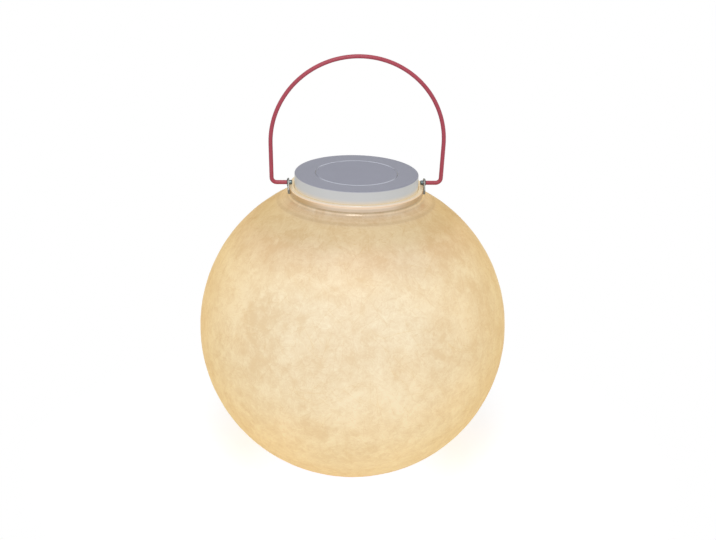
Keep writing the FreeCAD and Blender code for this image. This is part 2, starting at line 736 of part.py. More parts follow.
def door_pin():
    reach = DOOR_W / 2 + DOOR_PLAY + DOOR_PIN_GRIP
    return rod(DOOR_PIN_R, -reach, reach, door_axis_y, door_axis_z)


def board_carrier():
    """The tray clamped between the tub's screw wells and the lid's bosses, which carries the board."""
    tray = disc(tub_in_r - CARRIER_PLAY, carrier_z, carrier_top_z)
    posts = [
        disc(STANDOFF_R, carrier_top_z, board_z, *on_ring(standoff_ring, a)) for a in STANDOFF_ANGLES
    ]
    grip_z = board_top_z - BOARD_SCREW_L - PILOT_SPARE / 2
    pilots = [
        disc(BOARD_SCREW_R + THREAD_PLAY, grip_z, board_z, *on_ring(standoff_ring, a))
        for a in STANDOFF_ANGLES
    ]
    holes = [
        disc(TUB_SCREW_R + HOLE_PLAY, carrier_z, carrier_top_z, *on_ring(well_ring, a))
        for a in WELL_ANGLES
    ]
    slots = [
        block(x - SLOT_L / 2, x + SLOT_L / 2, y - SLOT_W / 2, y + SLOT_W / 2, carrier_z, carrier_top_z)
        for x, y in ((cell_lead_x, 0), (-cell_lead_x, 0), (LED_LEAD_X, led_lead_y))
    ]
    return tray.fuse(posts).cut(pilots + holes + slots)


def cell_rows():
    middle = (CELL_COUNT - 1) / 2
    return [(n - middle) * CELL_PITCH for n in range(CELL_COUNT)]


def battery_cells():
    """The cells, side by side along X and turned end for end, each with its crimped groove."""
    half = CELL_L / 2
    cells = []
    for number, y in enumerate(cell_rows()):
        side = 1 if number % 2 == 0 else -1
        middle_x = side * (half - CELL_GROOVE_IN)
        span = (middle_x - CELL_GROOVE_W / 2, middle_x + CELL_GROOVE_W / 2)
        groove = rod(CELL_R, *span, y, cell_z).cut(rod(CELL_R - CELL_GROOVE_DEPTH, *span, y, cell_z))
        cells.append(rod(CELL_R, -half, half, y, cell_z).cut(groove))
    return cells


def cell_straps():
    """A nickel strap across the cells at each end."""
    half = CELL_L / 2
    rows = cell_rows()
    low, high = cell_z - STRAP_H / 2, cell_z + STRAP_H / 2
    strap = block(half, half + STRAP_T, rows[0] - STRAP_OVER, rows[-1] + STRAP_OVER, low, high)
    return [strap, half_turned(strap)]


def cell_beds():
    """The room that the cells and their straps take up."""
    inner = CELL_L / 2 + STRAP_T + STRAP_PLAY
    return [rod(CELL_R + CELL_PLAY, -inner, inner, y, cell_z) for y in cell_rows()]


def plate_bosses(play):
    """The tub's four bosses for the light plate's screws, with some play round each."""
    top = tub_floor_top_z + PLATE_BOSS_H + play
    radius = PLATE_BOSS_R + play
    return [disc(radius, tub_floor_z, top, *on_ring(plate_screw_ring, a)) for a in PLATE_SCREW_ANGLES]


def battery_cradle():
    """The cradle on the tub's floor, with a saddle for each cell and a wall at each end."""
    inner = CELL_L / 2 + STRAP_T + STRAP_PLAY
    outer = inner + CRADLE_END_T
    side = cell_rows()[-1] + CELL_R + CRADLE_SIDE
    top = tub_floor_top_z + CRADLE_BASE_T + CRADLE_SADDLE_H
    body = block(-outer, outer, -side, side, tub_floor_top_z, top)
    body = body.common(disc(tub_in_r - CRADLE_PLAY, tub_floor_top_z, top))
    end_slots = [
        block(x, x + STRAP_T + STRAP_PLAY, -side + CRADLE_SIDE, side - CRADLE_SIDE, cell_z - STRAP_H, top)
        for x in (-inner, inner - STRAP_T - STRAP_PLAY)
    ]
    return body.cut(cell_beds() + end_slots + plate_bosses(CRADLE_PLAY))


def swept_lead(points, radius):
    """A lead along straight runs and the arcs between them, given as steps in the XZ plane."""
    path = Part.Wire(edges_along(points, False))
    start = Part.makeCircle(radius, at(points[0]), at(points[1]) - at(points[0]))
    return path.makePipeShell([Part.Wire(start)], True, False)


def battery_leads():
    """A lead from each strap, round one bend and up through the carrier to the board."""
    from_x = CELL_L / 2 + STRAP_T
    lead_z = cell_z + STRAP_H / 2 - LEAD_R
    steps = [(from_x, lead_z), (cell_lead_x, lead_z, CELL_LEAD_BEND), (cell_lead_x, board_z)]
    lead = swept_lead(steps, LEAD_R)
    return [lead, half_turned(lead)]


def led_leads():
    """Two leads from the board down through the tub's floor to the light plate, bowed a little."""
    leads = []
    steps = [
        (0, board_z),
        (0, carrier_z, LED_LEAD_BEND),
        (LED_LEAD_BOW, cell_z, LED_LEAD_BEND),
        (0, tub_floor_top_z, LED_LEAD_BEND),
        (0, tub_floor_z),
    ]
    for side in (-0.5, 0.5):
        lead = swept_lead(steps, LEAD_R)
        leads.append(placed(lead, LED_LEAD_X + side * LEAD_PITCH, led_lead_y, 0))
    return leads


def core_tub():
    """The tub that hangs from the lid: flange, wall, floor, screw wells, plate bosses and rim groove."""
    flange_r = lid_in_r - TUB_FLANGE_PLAY
    body = turned(
        (0, tub_floor_z),
        (tub_in_r, tub_floor_z),
        (tub_in_r, bead_z + 2 * BEAD_R),
        ((tub_in_r + BEAD_R, bead_z), (tub_in_r, bead_z - 2 * BEAD_R)),
        (tub_in_r, skirt_z),
        (tub_r, skirt_z),
        (tub_r, lid_z),
        (flange_r, lid_z),
        (flange_r, lid_z + TUB_FLANGE_T),
        (tub_in_r, lid_z + TUB_FLANGE_T),
        (tub_in_r, tub_floor_top_z),
        (0, tub_floor_top_z),
    )
    wells = [disc(WELL_R, tub_floor_z, carrier_z, *on_ring(well_ring, a)) for a in WELL_ANGLES]
    bosses = [boss.cut(cell_beds()) for boss in plate_bosses(0)]
    tunnel_r = TUB_HEAD_R + HEAD_PLAY
    tunnels = [
        disc(tunnel_r, tub_floor_z, carrier_z - WELL_ROOF, *on_ring(well_ring, a)) for a in WELL_ANGLES
    ]
    holes = [
        disc(TUB_SCREW_R + HOLE_PLAY, carrier_z - WELL_ROOF, carrier_z, *on_ring(well_ring, a))
        for a in WELL_ANGLES
    ]
    plate_pilot_r = PLATE_SCREW_R + THREAD_PLAY
    pilot_top = tub_floor_z + PLATE_SCREW_GRIP
    pilots = [
        disc(plate_pilot_r, tub_floor_z, pilot_top, *on_ring(plate_screw_ring, a)) for a in PLATE_SCREW_ANGLES
    ]
    lead_hole = disc(LEAD_HOLE_R, tub_floor_z, tub_floor_top_z, LED_LEAD_X, led_lead_y)
    return body.fuse(wells + bosses).cut(tunnels + holes + pilots + [lead_hole]).removeSplitter()


def tub_screws():
    """The four screws that pull the tub up to the lid, driven up the wells."""
    length = WELL_ROOF + CARRIER_T + TUB_SCREW_GRIP
    screw = pan_screw(TUB_SCREW_R, length, TUB_HEAD_R, TUB_HEAD_H)
    return [placed(screw, *on_ring(well_ring, a), carrier_z - WELL_ROOF, True) for a in WELL_ANGLES]


def light_plate():
    """The aluminium plate under the tub's floor that carries and cools the lights."""
    plate = disc(plate_r, plate_z, tub_floor_z)
    hole_r = PLATE_SCREW_R + HOLE_PLAY
    holes = [disc(hole_r, plate_z, tub_floor_z, *on_ring(plate_screw_ring, a)) for a in PLATE_SCREW_ANGLES]
    return plate.cut(holes)


def plate_screws():
    length = PLATE_T + PLATE_SCREW_GRIP - PILOT_SPARE
    screw = pan_screw(PLATE_SCREW_R, length, PLATE_HEAD_R, PLATE_HEAD_H)
    return [placed(screw, *on_ring(plate_screw_ring, a), plate_z, True) for a in PLATE_SCREW_ANGLES]


def light_chips():
    """The light-emitting chips on the plate, in two rings and one in the middle."""
    half = LIGHT_W / 2
    chip = block(-half, half, -half, half, plate_z - LIGHT_T, plate_z)
    chips = [chip]
    for radius, count in ((light_out_r, LIGHT_OUT_COUNT), (LIGHT_MID_R, LIGHT_MID_COUNT)):
        for number in range(count):
            other = placed(chip, radius, 0, 0)
            other.rotate(Vector(0, 0, 0), Vector(0, 0, 1), 360 / count * (number + 0.5))
            chips.append(other)
    return chips


def diffuser_dome():
    """The opal dome under the lights, snapped into the tub's skirt by a bead round its rim."""
    low_z = dome_rim_z - DOME_DEPTH
    sag_r = (dome_r**2 + DOME_DEPTH**2) / (2 * DOME_DEPTH)
    middle_r = dome_r / 2
    middle_z = low_z + sag_r - math.sqrt(sag_r**2 - middle_r**2)
    in_depth = DOME_DEPTH - DOME_WALL
    in_sag_r = (dome_in_r**2 + in_depth**2) / (2 * in_depth)
    in_middle_r = dome_in_r / 2
    in_middle_z = low_z + DOME_WALL + in_sag_r - math.sqrt(in_sag_r**2 - in_middle_r**2)
    return turned(
        (0, low_z),
        ((middle_r, middle_z), (dome_r, dome_rim_z)),
        (dome_r, bead_z - 2 * BEAD_R),
        ((dome_r + BEAD_R, bead_z), (dome_r, bead_z + 2 * BEAD_R)),
        (dome_r, tub_floor_z),
        (dome_in_r, tub_floor_z),
        (dome_in_r, dome_rim_z),
        ((in_middle_r, in_middle_z), (0, low_z + DOME_WALL)),
    )


PIECES = {
    "globe_shell": globe_shell,
    "foot_ring": foot_ring,
    "neck_gasket": neck_gasket,
    "collar_band": collar_band,
    "clamp_screw": clamp_screw,
    "clamp_nut": clamp_nut,
    "ear_bushes": ear_bushes,
    "bail_handle": bail_handle,
    "bail_stop_caps": bail_stop_caps,
    "lid_shell": lid_shell,
    "lid_ring": lid_ring,
    "core_tub": core_tub,
    "tub_screws": tub_screws,
    "board_carrier": board_carrier,
    "battery_cradle": battery_cradle,
    "battery_cells": battery_cells,
    "cell_straps": cell_straps,
    "battery_leads": battery_leads,
    "led_leads": led_leads,
    "control_board": control_board,
    "board_screws": board_screws,
    "board_components": board_components,
    "charging_socket": socket_shell,
    "door_pin": door_pin,
    "switch_body": switch_body,
    "light_plate": light_plate,
    "plate_screws": plate_screws,
    "light_chips": light_chips,
    "diffuser_dome": diffuser_dome,
    "power_pad": power_pad,
    "switch_plunger": switch_plunger,
    "button_spring": button_spring,
    "port_door": port_door,
}


def main():
    os.makedirs("parts", exist_ok=True)
    for name, make in PIECES.items():
        made = make()
        shape = Part.makeCompound(made) if isinstance(made, list) else made
        solids = shape.Solids
        if not solids or not all(solid.isValid() for solid in solids):
            raise ValueError(f"{name} is not made of valid solids")
        Part.makeCompound(solids).exportStep(f"parts/{name}.step")
        box = shape.BoundBox
        print(f"{name}: {len(solids)} solids, z {box.ZMin:.2f} to {box.ZMax:.2f}, {shape.Volume:.0f} mm3")


main()
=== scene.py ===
# %% [markdown]
# # A garden globe light
# The light is a closed globe of thin fibre resin that glows from inside. A steel collar round its
# short neck holds a red wire bail, and a grey light unit drops into the neck. Every rigid piece is
# already built at its real size, so this lesson starts from that construction and gives it its
# looks: the clouded skin of the globe, the finish of each surface, and the light around the object.
# The construction is loaded first and is never moved, so each piece made here is measured from it
# and fits.

import json
import math

import bmesh
import bpy
import numpy as np
from mathutils import Matrix, Vector


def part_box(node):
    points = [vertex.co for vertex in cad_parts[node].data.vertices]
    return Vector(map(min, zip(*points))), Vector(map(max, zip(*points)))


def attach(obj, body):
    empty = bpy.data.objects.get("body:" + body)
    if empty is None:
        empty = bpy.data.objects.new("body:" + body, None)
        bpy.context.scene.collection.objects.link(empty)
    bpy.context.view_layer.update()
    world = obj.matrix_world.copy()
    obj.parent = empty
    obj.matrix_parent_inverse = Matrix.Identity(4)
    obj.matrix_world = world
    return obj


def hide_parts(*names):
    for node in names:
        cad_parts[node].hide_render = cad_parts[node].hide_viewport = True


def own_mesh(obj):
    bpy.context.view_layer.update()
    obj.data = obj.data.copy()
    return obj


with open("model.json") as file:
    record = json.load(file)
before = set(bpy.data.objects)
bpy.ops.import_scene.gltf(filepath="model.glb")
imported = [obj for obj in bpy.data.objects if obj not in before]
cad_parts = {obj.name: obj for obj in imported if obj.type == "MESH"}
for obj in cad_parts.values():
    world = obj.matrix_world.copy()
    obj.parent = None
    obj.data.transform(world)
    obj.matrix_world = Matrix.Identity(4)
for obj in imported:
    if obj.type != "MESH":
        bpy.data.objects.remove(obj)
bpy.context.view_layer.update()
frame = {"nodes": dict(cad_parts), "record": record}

# %% [markdown]
# ## Measures
# A few sizes of the globe are the construction's own, written here again because only its pieces
# are handed on. The heights of the foot, the rim and the lid are read from those pieces. The shades
# further down are given for a globe of this size. Blender works in metres, and a millimetre has a
# name to keep sizes readable.

# %% Measures of the globe
MM = 0.001
GLOBE_R = 150 * MM
SHELL_T = 3 * MM
FLAT_R = 38 * MM
flat_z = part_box("globe_shell")[0].z
rim_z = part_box("globe_shell")[1].z
globe_z = flat_z + math.sqrt(GLOBE_R**2 - FLAT_R**2)
GLOBE_CENTRE = Vector((0, 0, globe_z))
NECK_R = 64.2 * MM
NECK_FILLET = 4.5 * MM
FILLET_REACH = NECK_R + NECK_FILLET
neck_z = globe_z + math.sqrt((GLOBE_R + NECK_FILLET) ** 2 - FILLET_REACH**2)
lid_top_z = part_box("lid_shell")[1].z
print("globe centre", round(globe_z, 5), "collar", round(neck_z, 5), "rim", round(rim_z, 5))

# %% [markdown]
# ## The camera
# The picture is taken from a little to the left of the front, looking down about 22 degrees, with
# the object tilted in the frame by a degree and a half. A long lens from 1.8 m keeps the globe's
# outline nearly a circle. The camera is not shifted: it is turned until the globe's centre falls on
# its pixel, because a lens shift would stay on when the same camera is carried round to the sides.

# %% Camera
FRAME_W, FRAME_H = 716, 540
CAMERA_FAR = 1.8
FOCAL_PIXELS = 1820.05
CAMERA_TURN = math.radians(4.09)
CAMERA_DOWN = math.radians(22.12)
CAMERA_ROLL = math.radians(1.49)
CENTRE_PIXEL = (352.63, 324.53)
SENSOR_W = 36


def camera_axes():
    """The camera's right, up and forward, with the globe's centre on its pixel."""
    level_ahead = Vector((math.sin(CAMERA_TURN), math.cos(CAMERA_TURN), 0))
    ahead = level_ahead * math.cos(CAMERA_DOWN) - Vector((0, 0, math.sin(CAMERA_DOWN)))
    level = Vector((math.cos(CAMERA_TURN), -math.sin(CAMERA_TURN), 0))
    upright = level.cross(ahead)
    right = level * math.cos(CAMERA_ROLL) + upright * math.sin(CAMERA_ROLL)
    up = upright * math.cos(CAMERA_ROLL) - level * math.sin(CAMERA_ROLL)
    across = (CENTRE_PIXEL[0] - FRAME_W / 2) / FOCAL_PIXELS
    below = (CENTRE_PIXEL[1] - FRAME_H / 2) / FOCAL_PIXELS
    seen = (right * across - up * below + ahead).normalized()
    turn = seen.rotation_difference(ahead)
    return turn @ right, turn @ up, turn @ ahead, ahead


right, up, forward, to_globe = camera_axes()
camera_data = bpy.data.cameras.new("camera")
camera_data.sensor_width = SENSOR_W
camera_data.lens = FOCAL_PIXELS / FRAME_W * SENSOR_W
camera = bpy.data.objects.new("camera", camera_data)
camera.location = GLOBE_CENTRE - to_globe * CAMERA_FAR
camera.rotation_mode = "QUATERNION"
camera.rotation_quaternion = Matrix((right, up, -forward)).transposed().to_quaternion()
bpy.context.scene.collection.objects.link(camera)
bpy.context.scene.camera = camera
print("lens", round(camera_data.lens, 2), "mm, camera at", [round(v, 3) for v in camera.location])

# %% [markdown]
# ## A recipe book for materials
# Each finish is a small tree of nodes under one Principled shader. Writing the nodes by hand takes
# many lines, so a Recipe keeps the tree and offers the few steps that all finishes share: noise,
# ramp, mix, sum and bump. Every pattern reads Object coordinates, which stay with the piece when it
# moves. Whatever is the same all over a surface goes straight on the shader's own socket.

# %% Colours and recipes


def screen(red, green, blue):
    """A colour given in screen values from 0 to 255, as the linear colour that a shader wants."""
    shares = [value / 255 for value in (red, green, blue)]
    return [s / 12.92 if s < 0.04 else ((s + 0.055) / 1.055) ** 2.4 for s in shares] + [1]


class NodeTree:
    """A tree of nodes and the steps that build it. Whoever inherits it sets self.tree."""

    def node(self, kind, wires=(), **settings):
        made = self.tree.nodes.new(kind)
        for label, value in settings.items():
            setattr(made, label, value)
        for socket, value in dict(wires).items():
            self.plug(made.inputs[socket], value)
        return made

    def plug(self, socket, value):
        """Wires a socket to another node, or gives it a plain value."""
        if isinstance(value, bpy.types.NodeSocket):
            self.tree.links.new(value, socket)
        else:
            socket.default_value = value

    def sum(self, operation, first, second=0.0, third=0.0):
        wires = {0: first, 1: second, 2: third}
        return self.node("ShaderNodeMath", wires, operation=operation).outputs[0]


class Recipe(NodeTree):
    """One material, built up step by step round a Principled shader."""

    def __init__(self, name, **settings):
        self.material = bpy.data.materials.new(name)
        self.material.use_nodes = True
        self.tree = self.material.node_tree
        self.shader = self.tree.nodes["Principled BSDF"]
        self.place = self.node("ShaderNodeTexCoord").outputs["Object"]
        for label, value in settings.items():
            self.set(label.replace("_", " ").title().replace("Ior", "IOR"), value)

    def set(self, label, value):
        self.plug(self.shader.inputs[label], value)

    def noise(self, scale, detail=2.0, roughness=0.5, distortion=0.0, at=None):
        wires = {"Vector": at or self.place, "Scale": scale, "Detail": detail}
        wires.update({"Roughness": roughness, "Distortion": distortion})
        return self.node("ShaderNodeTexNoise", wires).outputs["Fac"]

    def moved(self, shift=(0, 0, 0), stretch=(1, 1, 1)):
        """The place, slid and stretched, so that two patterns do not lie on each other."""
        wires = {"Vector": self.place, "Location": shift, "Scale": stretch}
        return self.node("ShaderNodeMapping", wires).outputs["Vector"]

    def spread(self, value, low, high, to_low=0.0, to_high=1.0, smooth=True):
        """A value between low and high, laid out between two others and held at both ends."""
        wires = {"Value": value, "From Min": low, "From Max": high}
        wires.update({"To Min": to_low, "To Max": to_high})
        kind = "SMOOTHSTEP" if smooth else "LINEAR"
        return self.node("ShaderNodeMapRange", wires, interpolation_type=kind).outputs["Result"]

    def mix(self, share, first, second, how="MIX"):
        made = self.node("ShaderNodeMix", data_type="RGBA", blend_type=how)
        for socket, value in zip(("Factor_Float", "A_Color", "B_Color"), (share, first, second)):
            self.plug(next(s for s in made.inputs if s.identifier == socket), value)
        return next(s for s in made.outputs if s.identifier == "Result_Color")

    def along(self, axis):
        return self.node("ShaderNodeSeparateXYZ", {"Vector": self.place}).outputs[axis]

    def height(self):
        return self.along("Z")

    def stripe(self, value, low, high, soft):
        """1 where a value lies between low and high, fading to 0 over a soft edge."""
        rise = self.spread(value, low - soft, low)
        return self.sum("MULTIPLY", rise, self.spread(value, high, high + soft, 1.0, 0.0))

    def from_axis(self):
        """How far a point lies from the object's upright axis."""
        flat = self.moved(stretch=(1, 1, 0))
        return self.node("ShaderNodeVectorMath", {0: flat}, operation="LENGTH").outputs["Value"]

    def bump(self, height, deep, strength=1.0):
        wires = {"Height": height, "Distance": deep, "Strength": strength}
        self.set("Normal", self.node("ShaderNodeBump", wires).outputs["Normal"])


finishes = {}


def finish(slot):
    """Files a finish under the slot that it is for."""

    def keep(make):
        finishes[slot] = make()
        return make

    return keep


# %% [markdown]
# ## The floor, the air and the lamps
# The object stands on a white floor in a white room. The air lights it evenly from all round, and
# one broad lamp above the camera gives the globe its form and the steel its bright spots. The floor
# is lit like any surface, so that the globe's shadow falls on it. What the camera sees of it is
# topped up to white by a glow that only the camera, mirrors and glass can see, because more lamps
# would bleach the object as well. Close to the foot that glow is cooler, where the globe's own warm
# light falls on the paper.

# %% Room
AIR_LEVEL = 0.5
LAMP_LEVEL = 0.4
LAMP_FAR = 1.5
LAMP_WIDE, LAMP_TALL = 0.5, 1.1
LAMP_TURN = math.radians(-7)
LAMP_UP = math.radians(46)
FLOOR_R = 6.0
FLOOR_STEPS = 96
POOL_IN, POOL_OUT = 0.13, 0.34
FLOOR_TOP_UP = 0.5
GLOW_IN, GLOW_OUT = 0.03, 0.12
WHITE = (1, 1, 1, 1)
COOL_WHITE = (1, 1.15, 1.75, 1)
PAPER = screen(232, 235, 243)


def seen_directly(tree):
    """1 for what the camera, a mirror or glass sees, 0 for the light that falls on the object."""
    rays = tree.nodes.new("ShaderNodeLightPath").outputs
    total = rays["Is Camera Ray"]
    for label in ("Is Glossy Ray", "Is Transmission Ray"):
        more = tree.nodes.new("ShaderNodeMath")
        more.operation = "MAXIMUM"
        tree.links.new(total, more.inputs[0])
        tree.links.new(rays[label], more.inputs[1])
        total = more.outputs[0]
    return total


def make_air():
    world = bpy.data.worlds.new("studio_air")
    world.use_nodes = True
    tree = world.node_tree
    level = tree.nodes.new("ShaderNodeMapRange")
    level.inputs["To Min"].default_value = AIR_LEVEL
    level.inputs["To Max"].default_value = 1.0
    tree.links.new(seen_directly(tree), level.inputs["Value"])
    background = tree.nodes["Background"]
    background.inputs["Color"].default_value = WHITE
    tree.links.new(level.outputs["Result"], background.inputs["Strength"])
    bpy.context.scene.world = world


def make_floor():
    mesh = bpy.data.meshes.new("studio_floor")
    shape = bmesh.new()
    bmesh.ops.create_circle(shape, cap_ends=True, radius=FLOOR_R, segments=FLOOR_STEPS)
    shape.to_mesh(mesh)
    shape.free()
    floor = bpy.data.objects.new("studio_floor", mesh)
    bpy.context.scene.collection.objects.link(floor)
    paper = Recipe("white_floor", base_color=PAPER, roughness=0.9, specular_ior_level=0.0)
    away = paper.node("ShaderNodeVectorMath", {0: paper.place}, operation="LENGTH").outputs["Value"]
    far = paper.spread(away, POOL_IN, POOL_OUT)
    white = paper.node("ShaderNodeEmission", {"Color": WHITE, "Strength": 1.0}).outputs[0]
    direct = seen_directly(paper.tree)
    cool = paper.mix(paper.spread(away, GLOW_IN, GLOW_OUT), COOL_WHITE, WHITE)
    wires = {"Color": cool, "Strength": paper.sum("MULTIPLY", direct, FLOOR_TOP_UP)}
    top_up = paper.node("ShaderNodeEmission", wires)
    near = paper.node("ShaderNodeAddShader", {0: paper.shader.outputs[0], 1: top_up.outputs[0]})
    share = paper.sum("MULTIPLY", far, direct)
    both = paper.node("ShaderNodeMixShader", {0: share, 1: near.outputs[0], 2: white})
    paper.tree.links.new(both.outputs[0], paper.tree.nodes["Material Output"].inputs["Surface"])
    mesh.materials.append(paper.material)


def make_lamp(name, level, far, wide, tall, turn, lift):
    """An upright lamp aimed at the globe's centre. Level 1 makes white paper facing it white."""
    data = bpy.data.lights.new(name, "AREA")
    data.shape = "RECTANGLE"
    data.size, data.size_y = wide, tall
    data.energy = level * math.pi**2 * far**2
    lamp = bpy.data.objects.new(name, data)
    flat = Vector((math.sin(turn), -math.cos(turn), 0)) * math.cos(lift)
    away = flat + Vector((0, 0, math.sin(lift)))
    lamp.location = GLOBE_CENTRE + away * far
    lamp.rotation_mode = "QUATERNION"
    lamp.rotation_quaternion = away.to_track_quat("Z", "Y")
    bpy.context.scene.collection.objects.link(lamp)
    print(name, round(data.energy, 2), "W")


make_air()
make_floor()
make_lamp("front_lamp", LAMP_LEVEL, LAMP_FAR, LAMP_WIDE, LAMP_TALL, LAMP_TURN, LAMP_UP)
bpy.context.scene.view_settings.view_transform = "Standard"

# %% [markdown]
# ## Fibre resin
# The globe is laid up from resin and glass fibre, about 3 mm thick. Lit from inside it shows soft
# clouds where the lay is thicker, fine curved lines where strands bunch, and a tanner shade towards
# the neck, where the opaque light unit keeps its own light off the wall. The lip at the top catches
# that light again. The clouds are noise at three sizes, and the lines are the places where other
# noises cross their middle value. Noise alone puts its clouds anywhere, so some larger patches are
# made lighter or darker where the picture shows them. Two things make the flanks more orange than
# the middle, as on the real globe. The glow is emission in a warm colour while the plain colour is
# cool, so a flank that gets less of the room's light turns warmer. And a coat of clear, amber resin
# lies over the fibres: a slanting look goes through more of it. Near the neck the resin was
# smoothed by its mould, so the roughness falls there and the fillet shines.

# %% Fibre resin
# Shades that come over the resin towards the neck: from this height, to this height, whether the
# edge wanders with the clouds, and what is left of each colour there.
NECK_SHADES = (
    (0.225, 0.262, True, (0.885, 0.83, 0.80)),
    (0.252, 0.270, True, (0.795, 0.745, 0.66)),
    (0.273, 0.284, False, (0.69, 0.635, 0.65)),
)
EDGE_WANDERS = 24 * MM
BELLY_FROM, BELLY_TO, BELLY_FOOT = 0.06, 0.20, 0.08
BELLY_GLOW, TOP_GLOW = 1.07, 1.0
FOOT_TINT = (0.98, 1.03, 1.2, 1)
GLOSS_FROM, GLOSS_TO = 0.272, 0.2835
MATT, GLOSSY = 0.6, 0.15
LIP_FROM, LIP_EDGE = rim_z - 2.6 * MM, 0.4 * MM
# The top of the lip gets painted shade, darker than its side.
SHADED_CREST_FROM, SHADED_CREST_TO = rim_z - 1.2 * MM, rim_z - 0.3 * MM

# The lines that run round the foot of the neck, in millimetres below the collar: from, to,
# softness, and what is left of each colour there. The first is painted shadow under the collar,
# the second a painted highlight at the root of the neck, the third painted shade at the start of
# the shoulder, and the last is painted shade where the ledge inside stops the light.
NECK_LINES = (
    (-1.0, 1.3, 0.35, (0.53, 0.49, 0.48)),
    (2.0, 2.8, 0.4, (0.78, 0.74, 0.76)),
    (3.5, 4.0, 0.5, (0.66, 0.61, 0.62)),
    (8.2, 9.0, 1.0, (0.68, 0.62, 0.56)),
)

# Places where the lay is thicker or thinner than the noise makes it: degrees round from the front,
# degrees up, reach in millimetres, and how much lighter. The places follow the picture, and their
# reach and strength were tried until a render agreed with it.
LAY_PLACES = (
    (-37, 18, 40, -0.34), (-38, 3, 32, -0.24), (-43, 46, 34, -0.3), (-62, 47, 32, -0.2),
    (59, 50, 34, -0.36), (46, 44, 28, -0.21), (58, 25, 32, -0.32), (54, 12, 24, -0.1),
    (-57, -25, 34, -0.34), (-20, -22, 24, -0.27), (35, -25, 26, -0.17), (0, 44, 30, -0.15),
    (13, 24, 46, 0.22), (-34, 35, 38, 0.16), (16, -8, 44, 0.25), (-4, -5, 44, 0.12),
    (42, 20, 26, 0.17), (42, -4, 34, 0.36), (25, -9, 26, 0.3), (-43, 50, 20, -0.26),
    (-20, 42, 24, -0.2), (-39, 24, 24, -0.24), (16, 54, 22, 0.26), (52, 36, 20, 0.3),
    (-50, -29, 24, -0.3), (-23, 1, 24, 0.24), (40, 17, 22, 0.22),
)
PLACE_RAGGED = 60 * MM
PLACE_WEIGHT = 0.78

# What each noise adds to the lay, at its least and at its most, and what a line of each kind adds.
NOISE_LEAST, NOISE_MOST = 0.3, 0.7
CLOUDS_ADD, TUFTS_ADD, FLECKS_ADD = (0.09, 0.43), (-0.11, 0.53), (-0.28, 0.28)
STRAND_ADDS, THREAD_ADDS, WISP_ADDS = -0.27, -0.2, 0.27

# Colours where the lay is thick and where it is thin, and those of the lip, whose top gets a darker
# painted shade.
THICK_COLOUR, THIN_COLOUR = screen(163, 170, 180), screen(171, 189, 212)
THICK_GLOW, THIN_GLOW = screen(190, 153, 72), screen(205, 172, 90)
WARM_DRIFT, COOL_DRIFT = (1.01, 0.99, 0.965, 1), (0.99, 1.005, 1.03, 1)
LIP_COLOUR, CREST_SHADE_COLOUR = screen(182, 183, 190), screen(170, 175, 187)
LIP_GLOW, CREST_SHADE_GLOW = screen(190, 164, 140), screen(172, 156, 138)


def ridge(recipe, noise, middle, width):
    """1 along the lines where a noise crosses a value, and 0 away from them."""
    off = recipe.sum("ABSOLUTE", recipe.sum("SUBTRACT", noise, middle))
    return recipe.spread(off, 0.0, width, 1.0, 0.0)


def on_globe(turn, lift, radius):
    """The place on a sphere about the globe's centre, degrees round from the front and up."""
    turn, lift = math.radians(turn), math.radians(lift)
    flat = Vector((math.sin(turn), -math.cos(turn), 0)) * math.cos(lift)
    return GLOBE_CENTRE + (flat + Vector((0, 0, math.sin(lift)))) * radius


def lay_of_fibres(resin, clouds):
    """How thin the lay is: 0 in the thick, tan clouds and 1 where the most light comes through."""
    tufts = resin.noise(34, 4, 0.6, 0.9, resin.moved((0.31, 0.12, 0.07)))
    flecks = resin.noise(110, 3, 0.6, 0.6, resin.moved((0.5, 0.4, 0.3)))
    strand = ridge(resin, resin.noise(34, 2, 0.5, 1.6, resin.moved((0.7, 0.2, 0.5))), 0.5, 0.02)
    thread = ridge(resin, resin.noise(60, 1, 0.5, 2.4, resin.moved((0.1, 0.9, 0.3))), 0.52, 0.03)
    wisp = ridge(resin, resin.noise(85, 3, 0.6, 1.4, resin.moved((0.2, 0.6, 0.8))), 0.5, 0.05)
    lay = resin.spread(clouds, NOISE_LEAST, NOISE_MOST, *CLOUDS_ADD, smooth=False)
    for noise, adds in ((tufts, TUFTS_ADD), (flecks, FLECKS_ADD)):
        more = resin.spread(noise, NOISE_LEAST, NOISE_MOST, *adds, smooth=False)
        lay = resin.sum("ADD", lay, more)
    for lines, adds in ((strand, STRAND_ADDS), (thread, THREAD_ADDS), (wisp, WISP_ADDS)):
        lay = resin.sum("MULTIPLY_ADD", lines, adds, lay)
    ragged = resin.sum("MULTIPLY", resin.sum("SUBTRACT", tufts, 0.5), PLACE_RAGGED)
    for turn, lift, reach, weight in LAY_PLACES:
        wires = {0: resin.place, 1: on_globe(turn, lift, GLOBE_R)}
        away = resin.node("ShaderNodeVectorMath", wires, operation="DISTANCE").outputs["Value"]
        away = resin.sum("ADD", away, ragged)
        lay = resin.sum("ADD", lay, resin.spread(away, 0.0, reach * MM, weight * PLACE_WEIGHT, 0.0))
    return lay, strand


